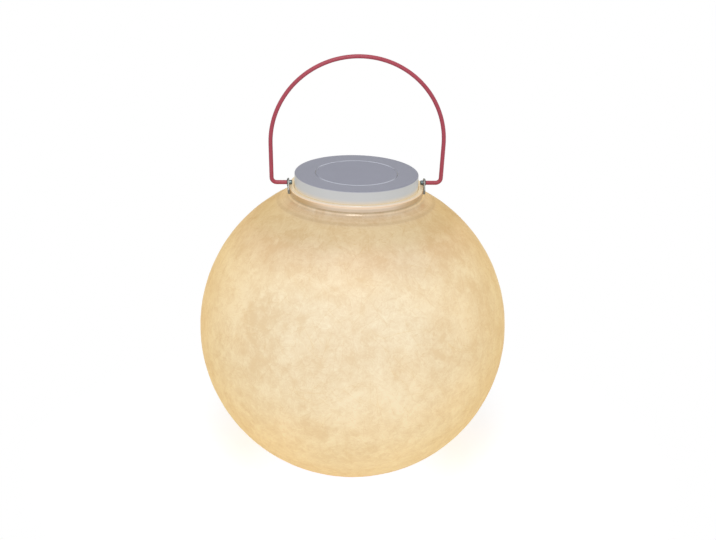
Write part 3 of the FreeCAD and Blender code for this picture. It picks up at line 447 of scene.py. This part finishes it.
def fibre_resin(name, thicker=0.0):
    """The resin of the globe, or of what lies in it a little thicker."""
    amber = {"coat_weight": 1.0, "coat_ior": 1.04, "coat_roughness": 0.5}
    amber["coat_tint"] = (0.96, 0.915, 0.80, 1)
    dust = {"sheen_weight": 0.12, "sheen_roughness": 0.25, "sheen_tint": (0.75, 0.88, 1, 1)}
    resin = Recipe(name, specular_ior_level=0.8, **amber, **dust)
    clouds = resin.noise(scale=12, detail=3, roughness=0.5, distortion=0.7)
    lay, strand = lay_of_fibres(resin, clouds)
    lay = resin.sum("SUBTRACT", lay, thicker)
    height = resin.height()
    wavy = resin.sum("MULTIPLY_ADD", resin.sum("SUBTRACT", clouds, 0.5), EDGE_WANDERS, height)
    shade = WHITE
    for low, high, wanders, tint in NECK_SHADES:
        shade = resin.mix(resin.spread(wavy if wanders else height, low, high), shade, (*tint, 1))
    shade = resin.mix(resin.spread(height, flat_z, BELLY_FOOT, 1.0, 0.0), shade, FOOT_TINT)
    for low, high, soft, tint in NECK_LINES:
        line = resin.stripe(height, neck_z - high * MM, neck_z - low * MM, soft * MM)
        shade = resin.mix(line, shade, (*tint, 1))
    colour = resin.mix(lay, THICK_COLOUR, THIN_COLOUR)
    glow = resin.mix(lay, THICK_GLOW, THIN_GLOW)
    wide = resin.noise(9, 2, 0.5, 0.4, resin.moved((0.9, 0.3, 0.6)))
    drift = resin.mix(resin.spread(wide, 0.35, 0.65), WARM_DRIFT, COOL_DRIFT)
    shade = resin.mix(1.0, shade, drift, "MULTIPLY")
    colour = resin.mix(1.0, colour, shade, "MULTIPLY")
    glow = resin.mix(1.0, glow, shade, "MULTIPLY")
    lip = resin.spread(height, LIP_FROM, LIP_FROM + LIP_EDGE)
    painted_crest = resin.spread(height, SHADED_CREST_FROM, SHADED_CREST_TO)
    resin.set("Base Color", resin.mix(lip, colour, resin.mix(painted_crest, LIP_COLOUR, CREST_SHADE_COLOUR)))
    resin.set("Emission Color", resin.mix(lip, glow, resin.mix(painted_crest, LIP_GLOW, CREST_SHADE_GLOW)))
    resin.set("Emission Strength", resin.spread(height, BELLY_FROM, BELLY_TO, BELLY_GLOW, TOP_GLOW))
    resin.set("Roughness", resin.spread(height, GLOSS_FROM, GLOSS_TO, MATT, GLOSSY))
    grain = resin.noise(scale=420, detail=2, roughness=0.6)
    skin = resin.sum("MULTIPLY_ADD", strand, 0.35, resin.noise(scale=160, detail=3, roughness=0.6))
    resin.bump(resin.sum("MULTIPLY_ADD", grain, 0.4, skin), 0.25 * MM, 0.3)
    return resin.material


@finish("globe_resin")
def globe_resin():
    return fibre_resin("globe_resin")


strand_resin = fibre_resin("strand_resin", thicker=0.3)


# %% [markdown]
# ## Plastics
# The lid, the pad in it and the small door are one moulded grey, with the fine dull texture of
# spark-eroded tooling. The lid's wall gets a painted glow for the light that rises round its foot,
# so it is paler than the top and warm at the bottom edge, and the door gets a weaker painted glow
# to match. Height tells the shader where that is. The chamfers round the pad get a painted
# highlight, with painted shade at their two ends.

# %% Plastics
BATCH_DRIFT = 0.05
TEXTURE_DRIFT = 0.06
PAD_FLANGE_W = 2.8 * MM
PAD_EDGE_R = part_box("power_pad")[1].x - PAD_FLANGE_W
PAD_CHAMFER = (PAD_EDGE_R - 0.7 * MM, PAD_EDGE_R - 0.5 * MM)
HOLE_CHAMFER = (PAD_EDGE_R + 1.1 * MM, PAD_EDGE_R + 1.3 * MM)
# A painted highlight on the chamfers round the pad, in a paler colour, fades to painted shade at
# their two ends, from this far across to this level.
SHADED_ENDS_FROM, SHADED_ENDS_LEVEL = 0.8 * PAD_EDGE_R, 0.1
CHAMFER_HIGHLIGHT_COLOUR = screen(205, 209, 220)
WALL_GLOW, WALL_FOOT_GLOW = screen(180, 179, 160), screen(214, 195, 152)
WALL_LEVEL, DOOR_LEVEL = 0.62, 0.3
WALL_TOP = (lid_top_z - 1.2 * MM, lid_top_z - 0.2 * MM)
FOOT_LIGHT = (rim_z - 0.5 * MM, rim_z + 4.2 * MM)


def moulded(name, colour, roughness=0.46, grain=900, deep=0.02, **settings):
    """A moulded plastic: one colour with a faint drift, and the fine texture of its tool."""
    plastic = Recipe(name, **settings)
    drift = plastic.noise(scale=30, detail=3, roughness=0.6)
    pale = [min(1, c * (1 + BATCH_DRIFT)) for c in colour[:3]] + [1]
    dark = [c * (1 - BATCH_DRIFT) for c in colour[:3]] + [1]
    plastic.set("Base Color", plastic.mix(drift, dark, pale))
    fine = plastic.noise(scale=grain, detail=2, roughness=0.6)
    dull, shiny = roughness + TEXTURE_DRIFT, roughness - TEXTURE_DRIFT
    plastic.set("Roughness", plastic.spread(fine, 0.2, 0.8, shiny, dull))
    plastic.bump(fine, deep * MM, 0.5)
    return plastic


def painted_chamfer_light(plastic, share):
    """A paler chamfer, a painted highlight, with painted shade at its two ends."""
    base = plastic.shader.inputs["Base Color"].links[0].from_socket
    sideways = plastic.sum("ABSOLUTE", plastic.along("X"))
    # Painted shade at the chamfer's two ends, where the highlight fades.
    rubbed_and_lit = plastic.spread(sideways, SHADED_ENDS_FROM, PAD_EDGE_R, 1.0, SHADED_ENDS_LEVEL)
    chamfer_highlight = plastic.sum("MULTIPLY", share, rubbed_and_lit)
    plastic.set("Base Color", plastic.mix(chamfer_highlight, base, CHAMFER_HIGHLIGHT_COLOUR))


@finish("lid_grey")
def lid_grey():
    grey = moulded("lid_grey", screen(155, 157, 171), specular_ior_level=0.2)
    height = grey.height()
    wall = grey.spread(height, *WALL_TOP, 1.0, 0.0)
    warm = grey.spread(height, *FOOT_LIGHT, 1.0, 0.0)
    painted_chamfer_light(grey, grey.spread(grey.from_axis(), *HOLE_CHAMFER, 1.0, 0.0))
    # Painted glow on the wall, warm at its foot.
    grey.set("Emission Color", grey.mix(warm, WALL_GLOW, WALL_FOOT_GLOW))
    grey.set("Emission Strength", grey.sum("MULTIPLY", wall, WALL_LEVEL))
    return grey.material


@finish("pad_grey")
def pad_grey():
    grey = moulded("pad_grey", screen(153, 155, 170), specular_ior_level=0.2)
    painted_chamfer_light(grey, grey.spread(grey.from_axis(), *PAD_CHAMFER))
    return grey.material


@finish("door_grey")
def door_grey():
    grey = moulded("door_grey", screen(164, 165, 171), 0.5)
    # A painted glow, weaker than the wall's, lifts the door to match the lid's wall.
    grey.set("Emission Color", WALL_GLOW)
    grey.set("Emission Strength", DOOR_LEVEL)
    return grey.material


# Plastics of one plain colour: colour, roughness, grain, and the texture's depth in millimetres.
PLAIN_PLASTICS = {
    "tub_white": (screen(226, 226, 222), 0.4, 600, 0.015),
    "component_black": (screen(38, 38, 41), 0.5, 1500, 0.01),
    "plunger_red": (screen(176, 42, 40), 0.42, 1200, 0.01),
    "bush_polymer": (screen(70, 76, 80), 0.38, 1400, 0.01),
    "lead_red": (screen(186, 50, 44), 0.42, 1000, 0.01),
}
for slot, looks in PLAIN_PLASTICS.items():
    finishes[slot] = moulded(slot, *looks).material

# %% [markdown]
# ## Metals
# A bare metal needs no colour of its own beyond a tint: it shows the room. What tells one metal
# from another is how it was worked, so one recipe makes them all, from a tint, a roughness and the
# way the polish runs.

# %% Metals
SMEAR_LEVEL = 0.88
LINE_SHINE, LINE_DULL = 0.05, 0.09
LINE_DEEP = 0.01 * MM


def worked_metal(name, colour, roughness, lines, grain):
    """A bare metal whose polish lines run across the stretched direction."""
    metal = Recipe(name, metallic=1.0)
    streaks = metal.noise(grain, 3, 0.7, at=metal.moved(stretch=lines))
    smear = metal.noise(scale=60, detail=2, roughness=0.5)
    dull = [c * SMEAR_LEVEL for c in colour[:3]] + [1]
    metal.set("Base Color", metal.mix(smear, dull, colour))
    dullest, shiniest = roughness + LINE_DULL, roughness - LINE_SHINE
    metal.set("Roughness", metal.spread(streaks, 0.2, 0.8, shiniest, dullest))
    metal.bump(streaks, LINE_DEEP, 0.4)
    return metal.material


# Bare metals: colour, roughness, how the polish lines are stretched, and their grain.
BARE_METALS = {
    "fastener_steel": (screen(190, 190, 188), 0.3, (1, 1, 1), 700),
    "cap_steel": (screen(100, 112, 114), 0.34, (1, 1, 1), 700),
    "socket_steel": (screen(206, 206, 204), 0.24, (1, 30, 1), 300),
    "spring_steel": (screen(180, 180, 178), 0.28, (1, 1, 1), 900),
    "strap_nickel": (screen(205, 200, 186), 0.26, (1, 20, 1), 300),
    "plate_aluminium": (screen(214, 215, 216), 0.34, (1, 25, 1), 240),
}
for slot, looks in BARE_METALS.items():
    finishes[slot] = worked_metal(slot, *looks)

# %% [markdown]
# The picture shows the collar and the bail best, so each has a recipe of its own. The collar is
# rolled and polished, with faint lines along its length and a slightly crowned face. Only half of
# it is treated as metal. The rest is a bronze tone that is a painted reflection of the globe's warm
# light: a painted highlight along the crest and painted shade, brownest, at the sides. Its ears are
# bare. The bail is steel under powder paint, which dries to a fine orange peel and wears a little
# darker where hands rub it.

# %% Collar and bail
BAND_OUT_R = 64.15 * MM
BAND_H = 4 * MM
BAND_CROWN = 18.0  # how far the face falls back, times the square of the way from its middle line
# Tones of the painted reflection of the globe's glow on the band, its painted highlight and its
# painted shade, and where they lie.
BAND_PAINTED_GLOW, BAND_PAINTED_HIGHLIGHT = (screen(214, 194, 170), screen(228, 210, 188)), screen(246, 224, 200)
BAND_PAINTED_SHADE, PAINTED_SHADE_REACH = screen(206, 172, 120), (24 * MM, 60 * MM)
PAINTED_HIGHLIGHT_REACH = (neck_z + 1.8 * MM, neck_z + BAND_H)
EAR_SMEAR = (screen(120, 118, 110), screen(150, 152, 146))
EAR_REACH = (BAND_OUT_R + 0.2 * MM, BAND_OUT_R + 0.4 * MM)


@finish("collar_steel")
def collar_steel():
    steel = Recipe("collar_steel", metallic=0.5, specular_ior_level=0.3)
    streaks = steel.noise(200, 3, 0.7, at=steel.moved(stretch=(1, 1, 30)))
    smear = steel.noise(scale=60, detail=2, roughness=0.5)
    # Painted light on the band: the globe's glow, a highlight along the crest and shade at the
    # sides.
    painted_crest = steel.spread(steel.height(), *PAINTED_HIGHLIGHT_REACH)
    side = steel.spread(steel.sum("ABSOLUTE", steel.along("X")), *PAINTED_SHADE_REACH)
    painted_glow = steel.mix(painted_crest, steel.mix(smear, *BAND_PAINTED_GLOW), BAND_PAINTED_HIGHLIGHT)
    painted_glow = steel.mix(side, painted_glow, BAND_PAINTED_SHADE)
    bare = steel.spread(steel.from_axis(), *EAR_REACH)
    steel.set("Base Color", steel.mix(bare, painted_glow, steel.mix(smear, *EAR_SMEAR)))
    steel.set("Roughness", steel.spread(streaks, 0.2, 0.8, 0.36, 0.46))
    off = steel.sum("SUBTRACT", steel.height(), neck_z + BAND_H / 2)
    crown = steel.sum("MULTIPLY", steel.sum("MULTIPLY", off, off), -BAND_CROWN)
    crown = steel.sum("MULTIPLY", crown, steel.sum("SUBTRACT", 1.0, bare))
    steel.bump(crown, 1.0)
    return steel.material


@finish("bail_red")
def bail_red():
    paint = Recipe("bail_red", specular_ior_level=0.35)
    peel = paint.noise(scale=1300, detail=2, roughness=0.6)
    rubbed_and_lit = paint.noise(scale=70, detail=3, roughness=0.6, distortion=0.5)
    paint.set("Base Color", paint.mix(rubbed_and_lit, screen(167, 66, 80), screen(186, 80, 95)))
    paint.set("Roughness", paint.spread(peel, 0.2, 0.8, 0.34, 0.46))
    paint.bump(peel, 0.06 * MM, 0.5)
    return paint.material


# %% [markdown]
# ## Rubber, opal and what is inside
# The foot, the gasket and the lid's ring are soft rubber: nearly black, dull, with dust caught in
# its texture. The diffuser is opal plastic, milky and lit from behind. The board, the cells and the
# leads show only when the unit is taken apart, yet each has its own finish, because a piece without
# one reads as unfinished.

# %% Rubber, opal and what is inside


@finish("soft_rubber")
def soft_rubber():
    rubber = Recipe("soft_rubber", specular_ior_level=0.3)
    dust = rubber.noise(scale=260, detail=4, roughness=0.7)
    rubber.set("Base Color", rubber.mix(dust, screen(58, 58, 60), screen(84, 83, 82)))
    rubber.set("Roughness", rubber.spread(dust, 0.3, 0.7, 0.68, 0.85))
    rubber.bump(rubber.noise(scale=1500, detail=2, roughness=0.6), 0.04 * MM, 0.6)
    return rubber.material


@finish("opal")
def opal():
    milk = Recipe("opal", roughness=0.35, coat_weight=0.3, coat_roughness=0.15)
    flow = milk.noise(scale=22, detail=3, roughness=0.6, distortion=0.4)
    milk.set("Base Color", milk.mix(flow, screen(226, 222, 212), screen(238, 235, 226)))
    milk.set("Emission Color", milk.mix(flow, screen(240, 214, 168), screen(250, 228, 188)))
    milk.set("Emission Strength", 0.5)
    milk.bump(milk.noise(scale=500, detail=2, roughness=0.5), 0.02 * MM, 0.3)
    return milk.material


@finish("chip_yellow")
def chip_yellow():
    phosphor = Recipe("chip_yellow", roughness=0.5)
    cells = phosphor.noise(scale=900, detail=3, roughness=0.7)
    phosphor.set("Base Color", phosphor.mix(cells, screen(226, 188, 74), screen(242, 210, 108)))
    glow = phosphor.mix(cells, screen(250, 206, 130), screen(255, 226, 164))
    phosphor.set("Emission Color", glow)
    phosphor.set("Emission Strength", 1.0)
    return phosphor.material


@finish("cell_wrap")
def cell_wrap():
    wrap = Recipe("cell_wrap", coat_weight=0.4, coat_roughness=0.2)
    creases = wrap.noise(160, 3, 0.6, 0.8, wrap.moved(stretch=(0.3, 1, 1)))
    wrap.set("Base Color", wrap.mix(creases, screen(54, 110, 150), screen(66, 124, 164)))
    wrap.set("Roughness", wrap.spread(creases, 0.3, 0.7, 0.3, 0.42))
    wrap.bump(creases, 0.05 * MM, 0.4)
    return wrap.material


@finish("board_green")
def board_green():
    board = Recipe("board_green", coat_weight=0.3, coat_roughness=0.25)
    wires = {"Vector": board.place, "Scale": 160.0, "Mortar Size": 0.03}
    wires.update({"Color1": screen(28, 92, 62), "Color2": screen(34, 104, 70)})
    traces = board.node("ShaderNodeTexBrick", {**wires, "Mortar": screen(52, 128, 86)})
    weave = board.noise(scale=700, detail=2, roughness=0.6)
    cloth = board.sum("MULTIPLY", weave, 0.3)
    board.set("Base Color", board.mix(cloth, traces.outputs["Color"], screen(30, 96, 66)))
    board.set("Roughness", board.spread(weave, 0.2, 0.8, 0.36, 0.5))
    return board.material


print(len(finishes), "finishes")

# %% [markdown]
# ## Dressing the construction
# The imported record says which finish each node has, so the nodes are dressed from it in one loop.
# Their shapes are right as they are, with smooth normals, and only the material slot changes.

# %% Dress the construction
for row in frame["record"]["subparts"]:
    dressed = frame["nodes"][row["node"]].data
    dressed.materials.clear()
    dressed.materials.append(finishes[row["material_slot"]])
print(len(frame["nodes"]), "nodes dressed")

# %% [markdown]
# ## The skin of the globe
# The globe is a form of revolution: one outline turned about Z. The outline runs from the middle of
# the flat up the outside, through the fillet, the collar's groove and the lip, down the bore to the
# ledge, and back along the inside, so the skin is a closed shell with its real wall. It is turned
# with many steps, because the skin fills most of the picture and any facet on its edge would show.

# %% Outline of the globe
LID_BORE_R = 59.9 * MM
LEDGE_R = 54.0 * MM
LEDGE_T = 1.3 * MM
GROOVE_R = 62.9 * MM
LIP_R = 64.4 * MM
LIP_T = 2.3 * MM
LIP_ROUND = 0.8 * MM
LIP_LOWER_ROUND = 0.4 * MM
FLOOR_T = 4.0 * MM
OUTER_STEPS, INNER_STEPS, FILLET_STEPS, ROUND_STEPS = 144, 48, 10, 4
TURN_STEPS = 288


def arc(centre, radius, start, end, steps):
    """Points (r, z) on an arc about a centre, from one angle to another, both ends included."""
    angles = np.linspace(start, end, steps + 1)
    return [(centre[0] + radius * math.cos(a), centre[1] + radius * math.sin(a)) for a in angles]


def globe_outline():
    lip_z = rim_z - LIP_T
    ledge_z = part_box("neck_gasket")[0].z
    inner_r = GLOBE_R - SHELL_T
    floor_z = flat_z + FLOOR_T
    foot = math.atan2(flat_z - globe_z, FLAT_R)
    shoulder = math.atan2(neck_z - globe_z, FILLET_REACH)
    quarter = math.pi / 2
    points = [(0, flat_z)]
    points += arc((0, globe_z), GLOBE_R, foot, shoulder, OUTER_STEPS)
    root = (FILLET_REACH, neck_z)
    points += arc(root, NECK_FILLET, shoulder - math.pi, -math.pi, FILLET_STEPS)[1:]
    points += [(GROOVE_R, neck_z), (GROOVE_R, lip_z)]
    under = (LIP_R - LIP_LOWER_ROUND, lip_z + LIP_LOWER_ROUND)
    points += arc(under, LIP_LOWER_ROUND, -quarter, 0, ROUND_STEPS)
    points += arc((LIP_R - LIP_ROUND, rim_z - LIP_ROUND), LIP_ROUND, 0, quarter, ROUND_STEPS)
    inside = (LID_BORE_R + LIP_ROUND, rim_z - LIP_ROUND)
    points += arc(inside, LIP_ROUND, quarter, 2 * quarter, ROUND_STEPS)
    points += [(LID_BORE_R, ledge_z), (LEDGE_R, ledge_z), (LEDGE_R, ledge_z - LEDGE_T)]
    brow = math.atan2(math.sqrt(inner_r**2 - LEDGE_R**2), LEDGE_R)
    hollow = -math.asin((globe_z - floor_z) / inner_r)
    points += arc((0, globe_z), inner_r, brow, hollow, INNER_STEPS)[1:]
    return points + [(0, floor_z)]


# %% Turn the outline


def turned(name, outline, steps):
    """A closed mesh of revolution about Z. A point of the outline on the axis stays one point."""
    angles = np.arange(steps) * 2 * math.pi / steps
    points, rings = [], []
    for r, z in outline:
        first = len(points)
        if r == 0:
            points.append((0, 0, z))
            rings.append([first] * steps)
        else:
            points += [(r * math.cos(a), r * math.sin(a), z) for a in angles]
            rings.append(list(range(first, first + steps)))
    faces = []
    for low, high in zip(rings, rings[1:]):
        for n in range(steps):
            corners = [low[n], low[(n + 1) % steps], high[(n + 1) % steps], high[n]]
            faces.append(list(dict.fromkeys(corners)))
    mesh = bpy.data.meshes.new(name)
    mesh.from_pydata(points, [], faces)
    return mesh


def smooth(mesh, sharp=32):
    """Smooth shading, with edges kept crisp where faces meet at more than that many degrees."""
    mesh.shade_smooth()
    mesh.set_sharp_from_angle(angle=math.radians(sharp))


def put(name, mesh):
    piece = bpy.data.objects.new(name, mesh)
    bpy.context.scene.collection.objects.link(piece)
    return piece


skin_mesh = turned("globe_skin", globe_outline(), TURN_STEPS)
print("skin before the hand of the maker:", len(skin_mesh.vertices), "points")

# %% [markdown]
# ## Uneven by hand
# A laid-up shell is never quite true: its outside dips by up to about a quarter of a millimetre.
# Geometry Nodes do this well, because a rule can move every point of the skin at once. The tree
# pushes points towards the centre by a noise, only where the outline lies on the sphere, so the
# neck keeps its fit and the globe never grows past its true size.

# %% A workshop for Geometry Nodes


class Workshop(NodeTree):
    """A Geometry Nodes tree, built step by step, with named inputs."""

    def __init__(self, name, **inputs):
        self.tree = bpy.data.node_groups.new(name, "GeometryNodeTree")
        face = self.tree.interface
        face.new_socket("Geometry", in_out="INPUT", socket_type="NodeSocketGeometry")
        face.new_socket("Geometry", in_out="OUTPUT", socket_type="NodeSocketGeometry")
        self.keys = {}
        for label, value in inputs.items():
            kind = "NodeSocketInt" if isinstance(value, int) else "NodeSocketFloat"
            socket = face.new_socket(label, in_out="INPUT", socket_type=kind)
            socket.default_value = value
            self.keys[label] = socket.identifier
        self.given = self.tree.nodes.new("NodeGroupInput").outputs
        self.result = self.tree.nodes.new("NodeGroupOutput").inputs[0]
        self.values = inputs

    def vector(self, operation, first, second=(0, 0, 0)):
        wires = {0: first, 1: second}
        return self.node("ShaderNodeVectorMath", wires, operation=operation).outputs[0]

    def scaled(self, vector, share):
        made = self.node("ShaderNodeVectorMath", {0: vector}, operation="SCALE")
        self.plug(made.inputs["Scale"], share)
        return made.outputs[0]

    def finish_with(self, geometry, material):
        """Ends the tree: everything is made real and gets its material."""
        real = self.node("GeometryNodeRealizeInstances", {"Geometry": geometry}).outputs[0]
        dressed = self.node("GeometryNodeSetMaterial", {"Geometry": real, "Material": material})
        self.plug(self.result, dressed.outputs[0])

    def run(self, name, mesh):
        """The plain mesh object that this tree makes of a mesh."""
        source = put(name, mesh)
        modifier = source.modifiers.new(self.tree.name, "NODES")
        modifier.node_group = self.tree
        for label, key in self.keys.items():
            modifier[key] = self.values[label]
        depsgraph = bpy.context.evaluated_depsgraph_get()
        made = bpy.data.meshes.new_from_object(source.evaluated_get(depsgraph))
        source.modifiers.remove(modifier)
        source.data = made
        made.name = name
        print(name, len(made.vertices), "points", len(made.polygons), "faces")
        return source


# %% Dents of a tenth or two
ON_SPHERE = 0.02 * MM

hand = Workshop("uneven_hand", Depth=0.28 * MM, Scale=26.0, Globe=GLOBE_R, Middle=globe_z)
where = hand.node("GeometryNodeInputPosition").outputs[0]
middle = hand.node("ShaderNodeCombineXYZ", {"Z": hand.given["Middle"]}).outputs[0]
outward = hand.vector("SUBTRACT", where, middle)
away = hand.node("ShaderNodeVectorMath", {0: outward}, operation="LENGTH").outputs["Value"]
off_sphere = hand.sum("ABSOLUTE", hand.sum("SUBTRACT", away, hand.given["Globe"]))
on_sphere = hand.sum("LESS_THAN", off_sphere, ON_SPHERE)
wires = {"Vector": where, "Scale": hand.given["Scale"], "Detail": 2.0}
wander = hand.node("ShaderNodeTexNoise", wires)
dip = hand.sum("MULTIPLY", wander.outputs["Fac"], hand.given["Depth"])
dip = hand.sum("MULTIPLY", dip, -1.0)
inward = hand.scaled(hand.vector("NORMALIZE", outward), dip)
wires = {"Geometry": hand.given["Geometry"], "Selection": on_sphere, "Offset": inward}
hand.finish_with(hand.node("GeometryNodeSetPosition", wires).outputs[0], finishes["globe_resin"])
globe_skin = hand.run("globe_skin", skin_mesh)
smooth(globe_skin.data)
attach(globe_skin, "root")
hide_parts("globe_shell")

# %% [markdown]
# ## Strands in the skin
# Close to, the resin shows the strands that stiffen it: flat, curved, a few centimetres long, lying
# every way just under the surface. They are too many to place by hand and no two lie alike, so a
# tree scatters one small ribbon over the globe, turns each copy about the surface, bends all of
# them with a noise, and then lays every point back on the sphere at the height that it had in the
# ribbon.

# %% One ribbon
STRAND_L = 34 * MM
STRAND_W = 0.55 * MM
STRAND_PROUD = 0.07 * MM
STRAND_STEPS = 8
STRAND_TIP = 0.06


def ribbon():
    """A flat strand along X with a crowned top. Its points remember their height off the skin."""
    section = [(-STRAND_W / 2, -STRAND_PROUD), (STRAND_W / 2, -STRAND_PROUD), (0, STRAND_PROUD)]
    points, faces = [], []
    for n in range(STRAND_STEPS + 1):
        share = n / STRAND_STEPS
        width = math.sin(math.pi * (STRAND_TIP + (1 - 2 * STRAND_TIP) * share)) ** 0.5
        points += [(STRAND_L * (share - 0.5), y * width, z) for y, z in section]
    for n in range(STRAND_STEPS):
        for side in range(3):
            a, b = n * 3 + side, n * 3 + (side + 1) % 3
            faces.append((a, a + 3, b + 3, b))
    faces += [(0, 1, 2), tuple(STRAND_STEPS * 3 + i for i in (2, 1, 0))]
    mesh = bpy.data.meshes.new("one_strand")
    mesh.from_pydata(points, [], faces)
    standing = mesh.attributes.new("standing", "FLOAT", "POINT")
    standing.data.foreach_set("value", [z for x, y, z in points])
    return mesh


strand = put("one_strand", ribbon())

# %% Scatter the strands
STRANDS_A_SQUARE_METRE = 5200.0
STRAND_SEED, SPIN_SEED, LENGTH_SEED = 7, 3, 5
STRAND_DEEP = 0.1 * MM
STRAND_BEND = 9 * MM
SHORTEST_SHARE = 0.35

lay = Workshop(
    "lay_strands",
    Density=STRANDS_A_SQUARE_METRE,
    Seed=STRAND_SEED,
    Globe=GLOBE_R - STRAND_DEEP,
    Middle=globe_z,
    Bend=STRAND_BEND,
)
scatter = lay.node("GeometryNodeDistributePointsOnFaces", {"Mesh": lay.given["Geometry"]})
lay.plug(scatter.inputs["Density"], lay.given["Density"])
lay.plug(scatter.inputs["Seed"], lay.given["Seed"])
wires = {"Min": 0.0, "Max": 2 * math.pi, "Seed": SPIN_SEED}
spin = lay.node("FunctionNodeRandomValue", wires, data_type="FLOAT")
wires = {"Axis": (0, 0, 1), "Angle": spin.outputs["Value"]}
turn = lay.node("FunctionNodeAxisAngleToRotation", wires)
aim = lay.node("FunctionNodeRotateRotation", {"Rotation": scatter.outputs["Rotation"]})
aim.rotation_space = "LOCAL"
lay.plug(aim.inputs["Rotate By"], turn.outputs[0])
one = lay.node("GeometryNodeObjectInfo", {"Object": strand}).outputs["Geometry"]
wires = {"Min": SHORTEST_SHARE, "Max": 1.0, "Seed": LENGTH_SEED}
length = lay.node("FunctionNodeRandomValue", wires, data_type="FLOAT")
stretch = lay.node("ShaderNodeCombineXYZ", {"X": length.outputs["Value"], "Y": 1.0, "Z": 1.0})
wires = {"Points": scatter.outputs["Points"], "Instance": one}
copies = lay.node("GeometryNodeInstanceOnPoints", wires)
lay.plug(copies.inputs["Rotation"], aim.outputs[0])
lay.plug(copies.inputs["Scale"], stretch.outputs[0])
real = lay.node("GeometryNodeRealizeInstances", {"Geometry": copies.outputs[0]}).outputs[0]
where = lay.node("GeometryNodeInputPosition").outputs[0]
wires = {"Vector": where, "Scale": 30.0, "Detail": 1.0}
drift = lay.node("ShaderNodeTexNoise", wires).outputs["Color"]
drift = lay.scaled(lay.vector("SUBTRACT", drift, (0.5, 0.5, 0.5)), lay.given["Bend"])
bent = lay.node("GeometryNodeSetPosition", {"Geometry": real, "Offset": drift}).outputs[0]
middle = lay.node("ShaderNodeCombineXYZ", {"Z": lay.given["Middle"]}).outputs[0]
heading = lay.vector("NORMALIZE", lay.vector("SUBTRACT", where, middle))
standing = lay.node("GeometryNodeInputNamedAttribute", {"Name": "standing"}, data_type="FLOAT")
radius = lay.sum("ADD", standing.outputs["Attribute"], lay.given["Globe"])
pressed = lay.vector("ADD", middle, lay.scaled(heading, radius))
laid = lay.node("GeometryNodeSetPosition", {"Geometry": bent, "Position": pressed}).outputs[0]
lay.finish_with(laid, strand_resin)
print("strand tree ready")

# %% [markdown]
# The strands are scattered over a plain copy of the sphere that stops short of the flat and of the
# neck.

# %% Lay the strands
STRANDS_LOW, STRANDS_HIGH = math.radians(-68), math.radians(58)
BED_STEPS, BED_TURN_STEPS = 40, 72
bed_outline = arc((0, globe_z), GLOBE_R, STRANDS_LOW, STRANDS_HIGH, BED_STEPS)
bed = turned("strand_bed", bed_outline, BED_TURN_STEPS)
skin_strands = lay.run("skin_strands", bed)
bpy.data.objects.remove(strand)
smooth(skin_strands.data, sharp=60)
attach(skin_strands, "root")

# %% [markdown]
# ## The spring under the pad
# The pad stands on a coil spring, which shortens when the pad goes down. Here it is wound once,
# at the length of the construction's spring. A coil is a wire carried along a helix: a small ring
# of points is set square to the helix at each step, and neighbouring rings are joined.

# %% Wind the spring
COIL_R = 8 * MM
WIRE_R = 0.4 * MM
COIL_TURNS = 4
STEPS_A_TURN, WIRE_SIDES = 48, 12


def coil(name, foot, head):
    """A closed wire wound evenly about Z, whose lowest and highest points are foot and head."""
    steps = COIL_TURNS * STEPS_A_TURN
    low, rise = foot + WIRE_R, head - foot - 2 * WIRE_R
    slope = math.atan2(rise / COIL_TURNS, 2 * math.pi * COIL_R)
    points, faces = [], []
    for n in range(steps + 1):
        turn = 2 * math.pi * n / STEPS_A_TURN
        outward = Vector((math.cos(turn), math.sin(turn), 0))
        onward = Vector((-math.sin(turn), math.cos(turn), math.tan(slope))).normalized()
        if n in (0, steps):
            onward = Vector((-math.sin(turn), math.cos(turn), 0))
        upward = outward.cross(onward)
        middle = outward * COIL_R + Vector((0, 0, low + rise * n / steps))
        for side in range(WIRE_SIDES):
            a = 2 * math.pi * side / WIRE_SIDES
            points.append(middle + (outward * math.cos(a) + upward * math.sin(a)) * WIRE_R)
    for n in range(steps):
        for side in range(WIRE_SIDES):
            a, b = n * WIRE_SIDES + side, n * WIRE_SIDES + (side + 1) % WIRE_SIDES
            faces.append((a, a + WIRE_SIDES, b + WIRE_SIDES, b))
    faces.append(tuple(range(WIRE_SIDES)))
    faces.append(tuple(steps * WIRE_SIDES + side for side in reversed(range(WIRE_SIDES))))
    mesh = bpy.data.meshes.new(name)
    mesh.from_pydata(points, [], faces)
    return mesh


spring_low, spring_high = (corner.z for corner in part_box("button_spring"))
pad_spring = put("pad_spring", coil("pad_spring", spring_low, spring_high))
pad_spring.data.materials.append(finishes["spring_steel"])
smooth(pad_spring.data, sharp=40)
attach(pad_spring, "light_unit")
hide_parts("button_spring")
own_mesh(pad_spring)
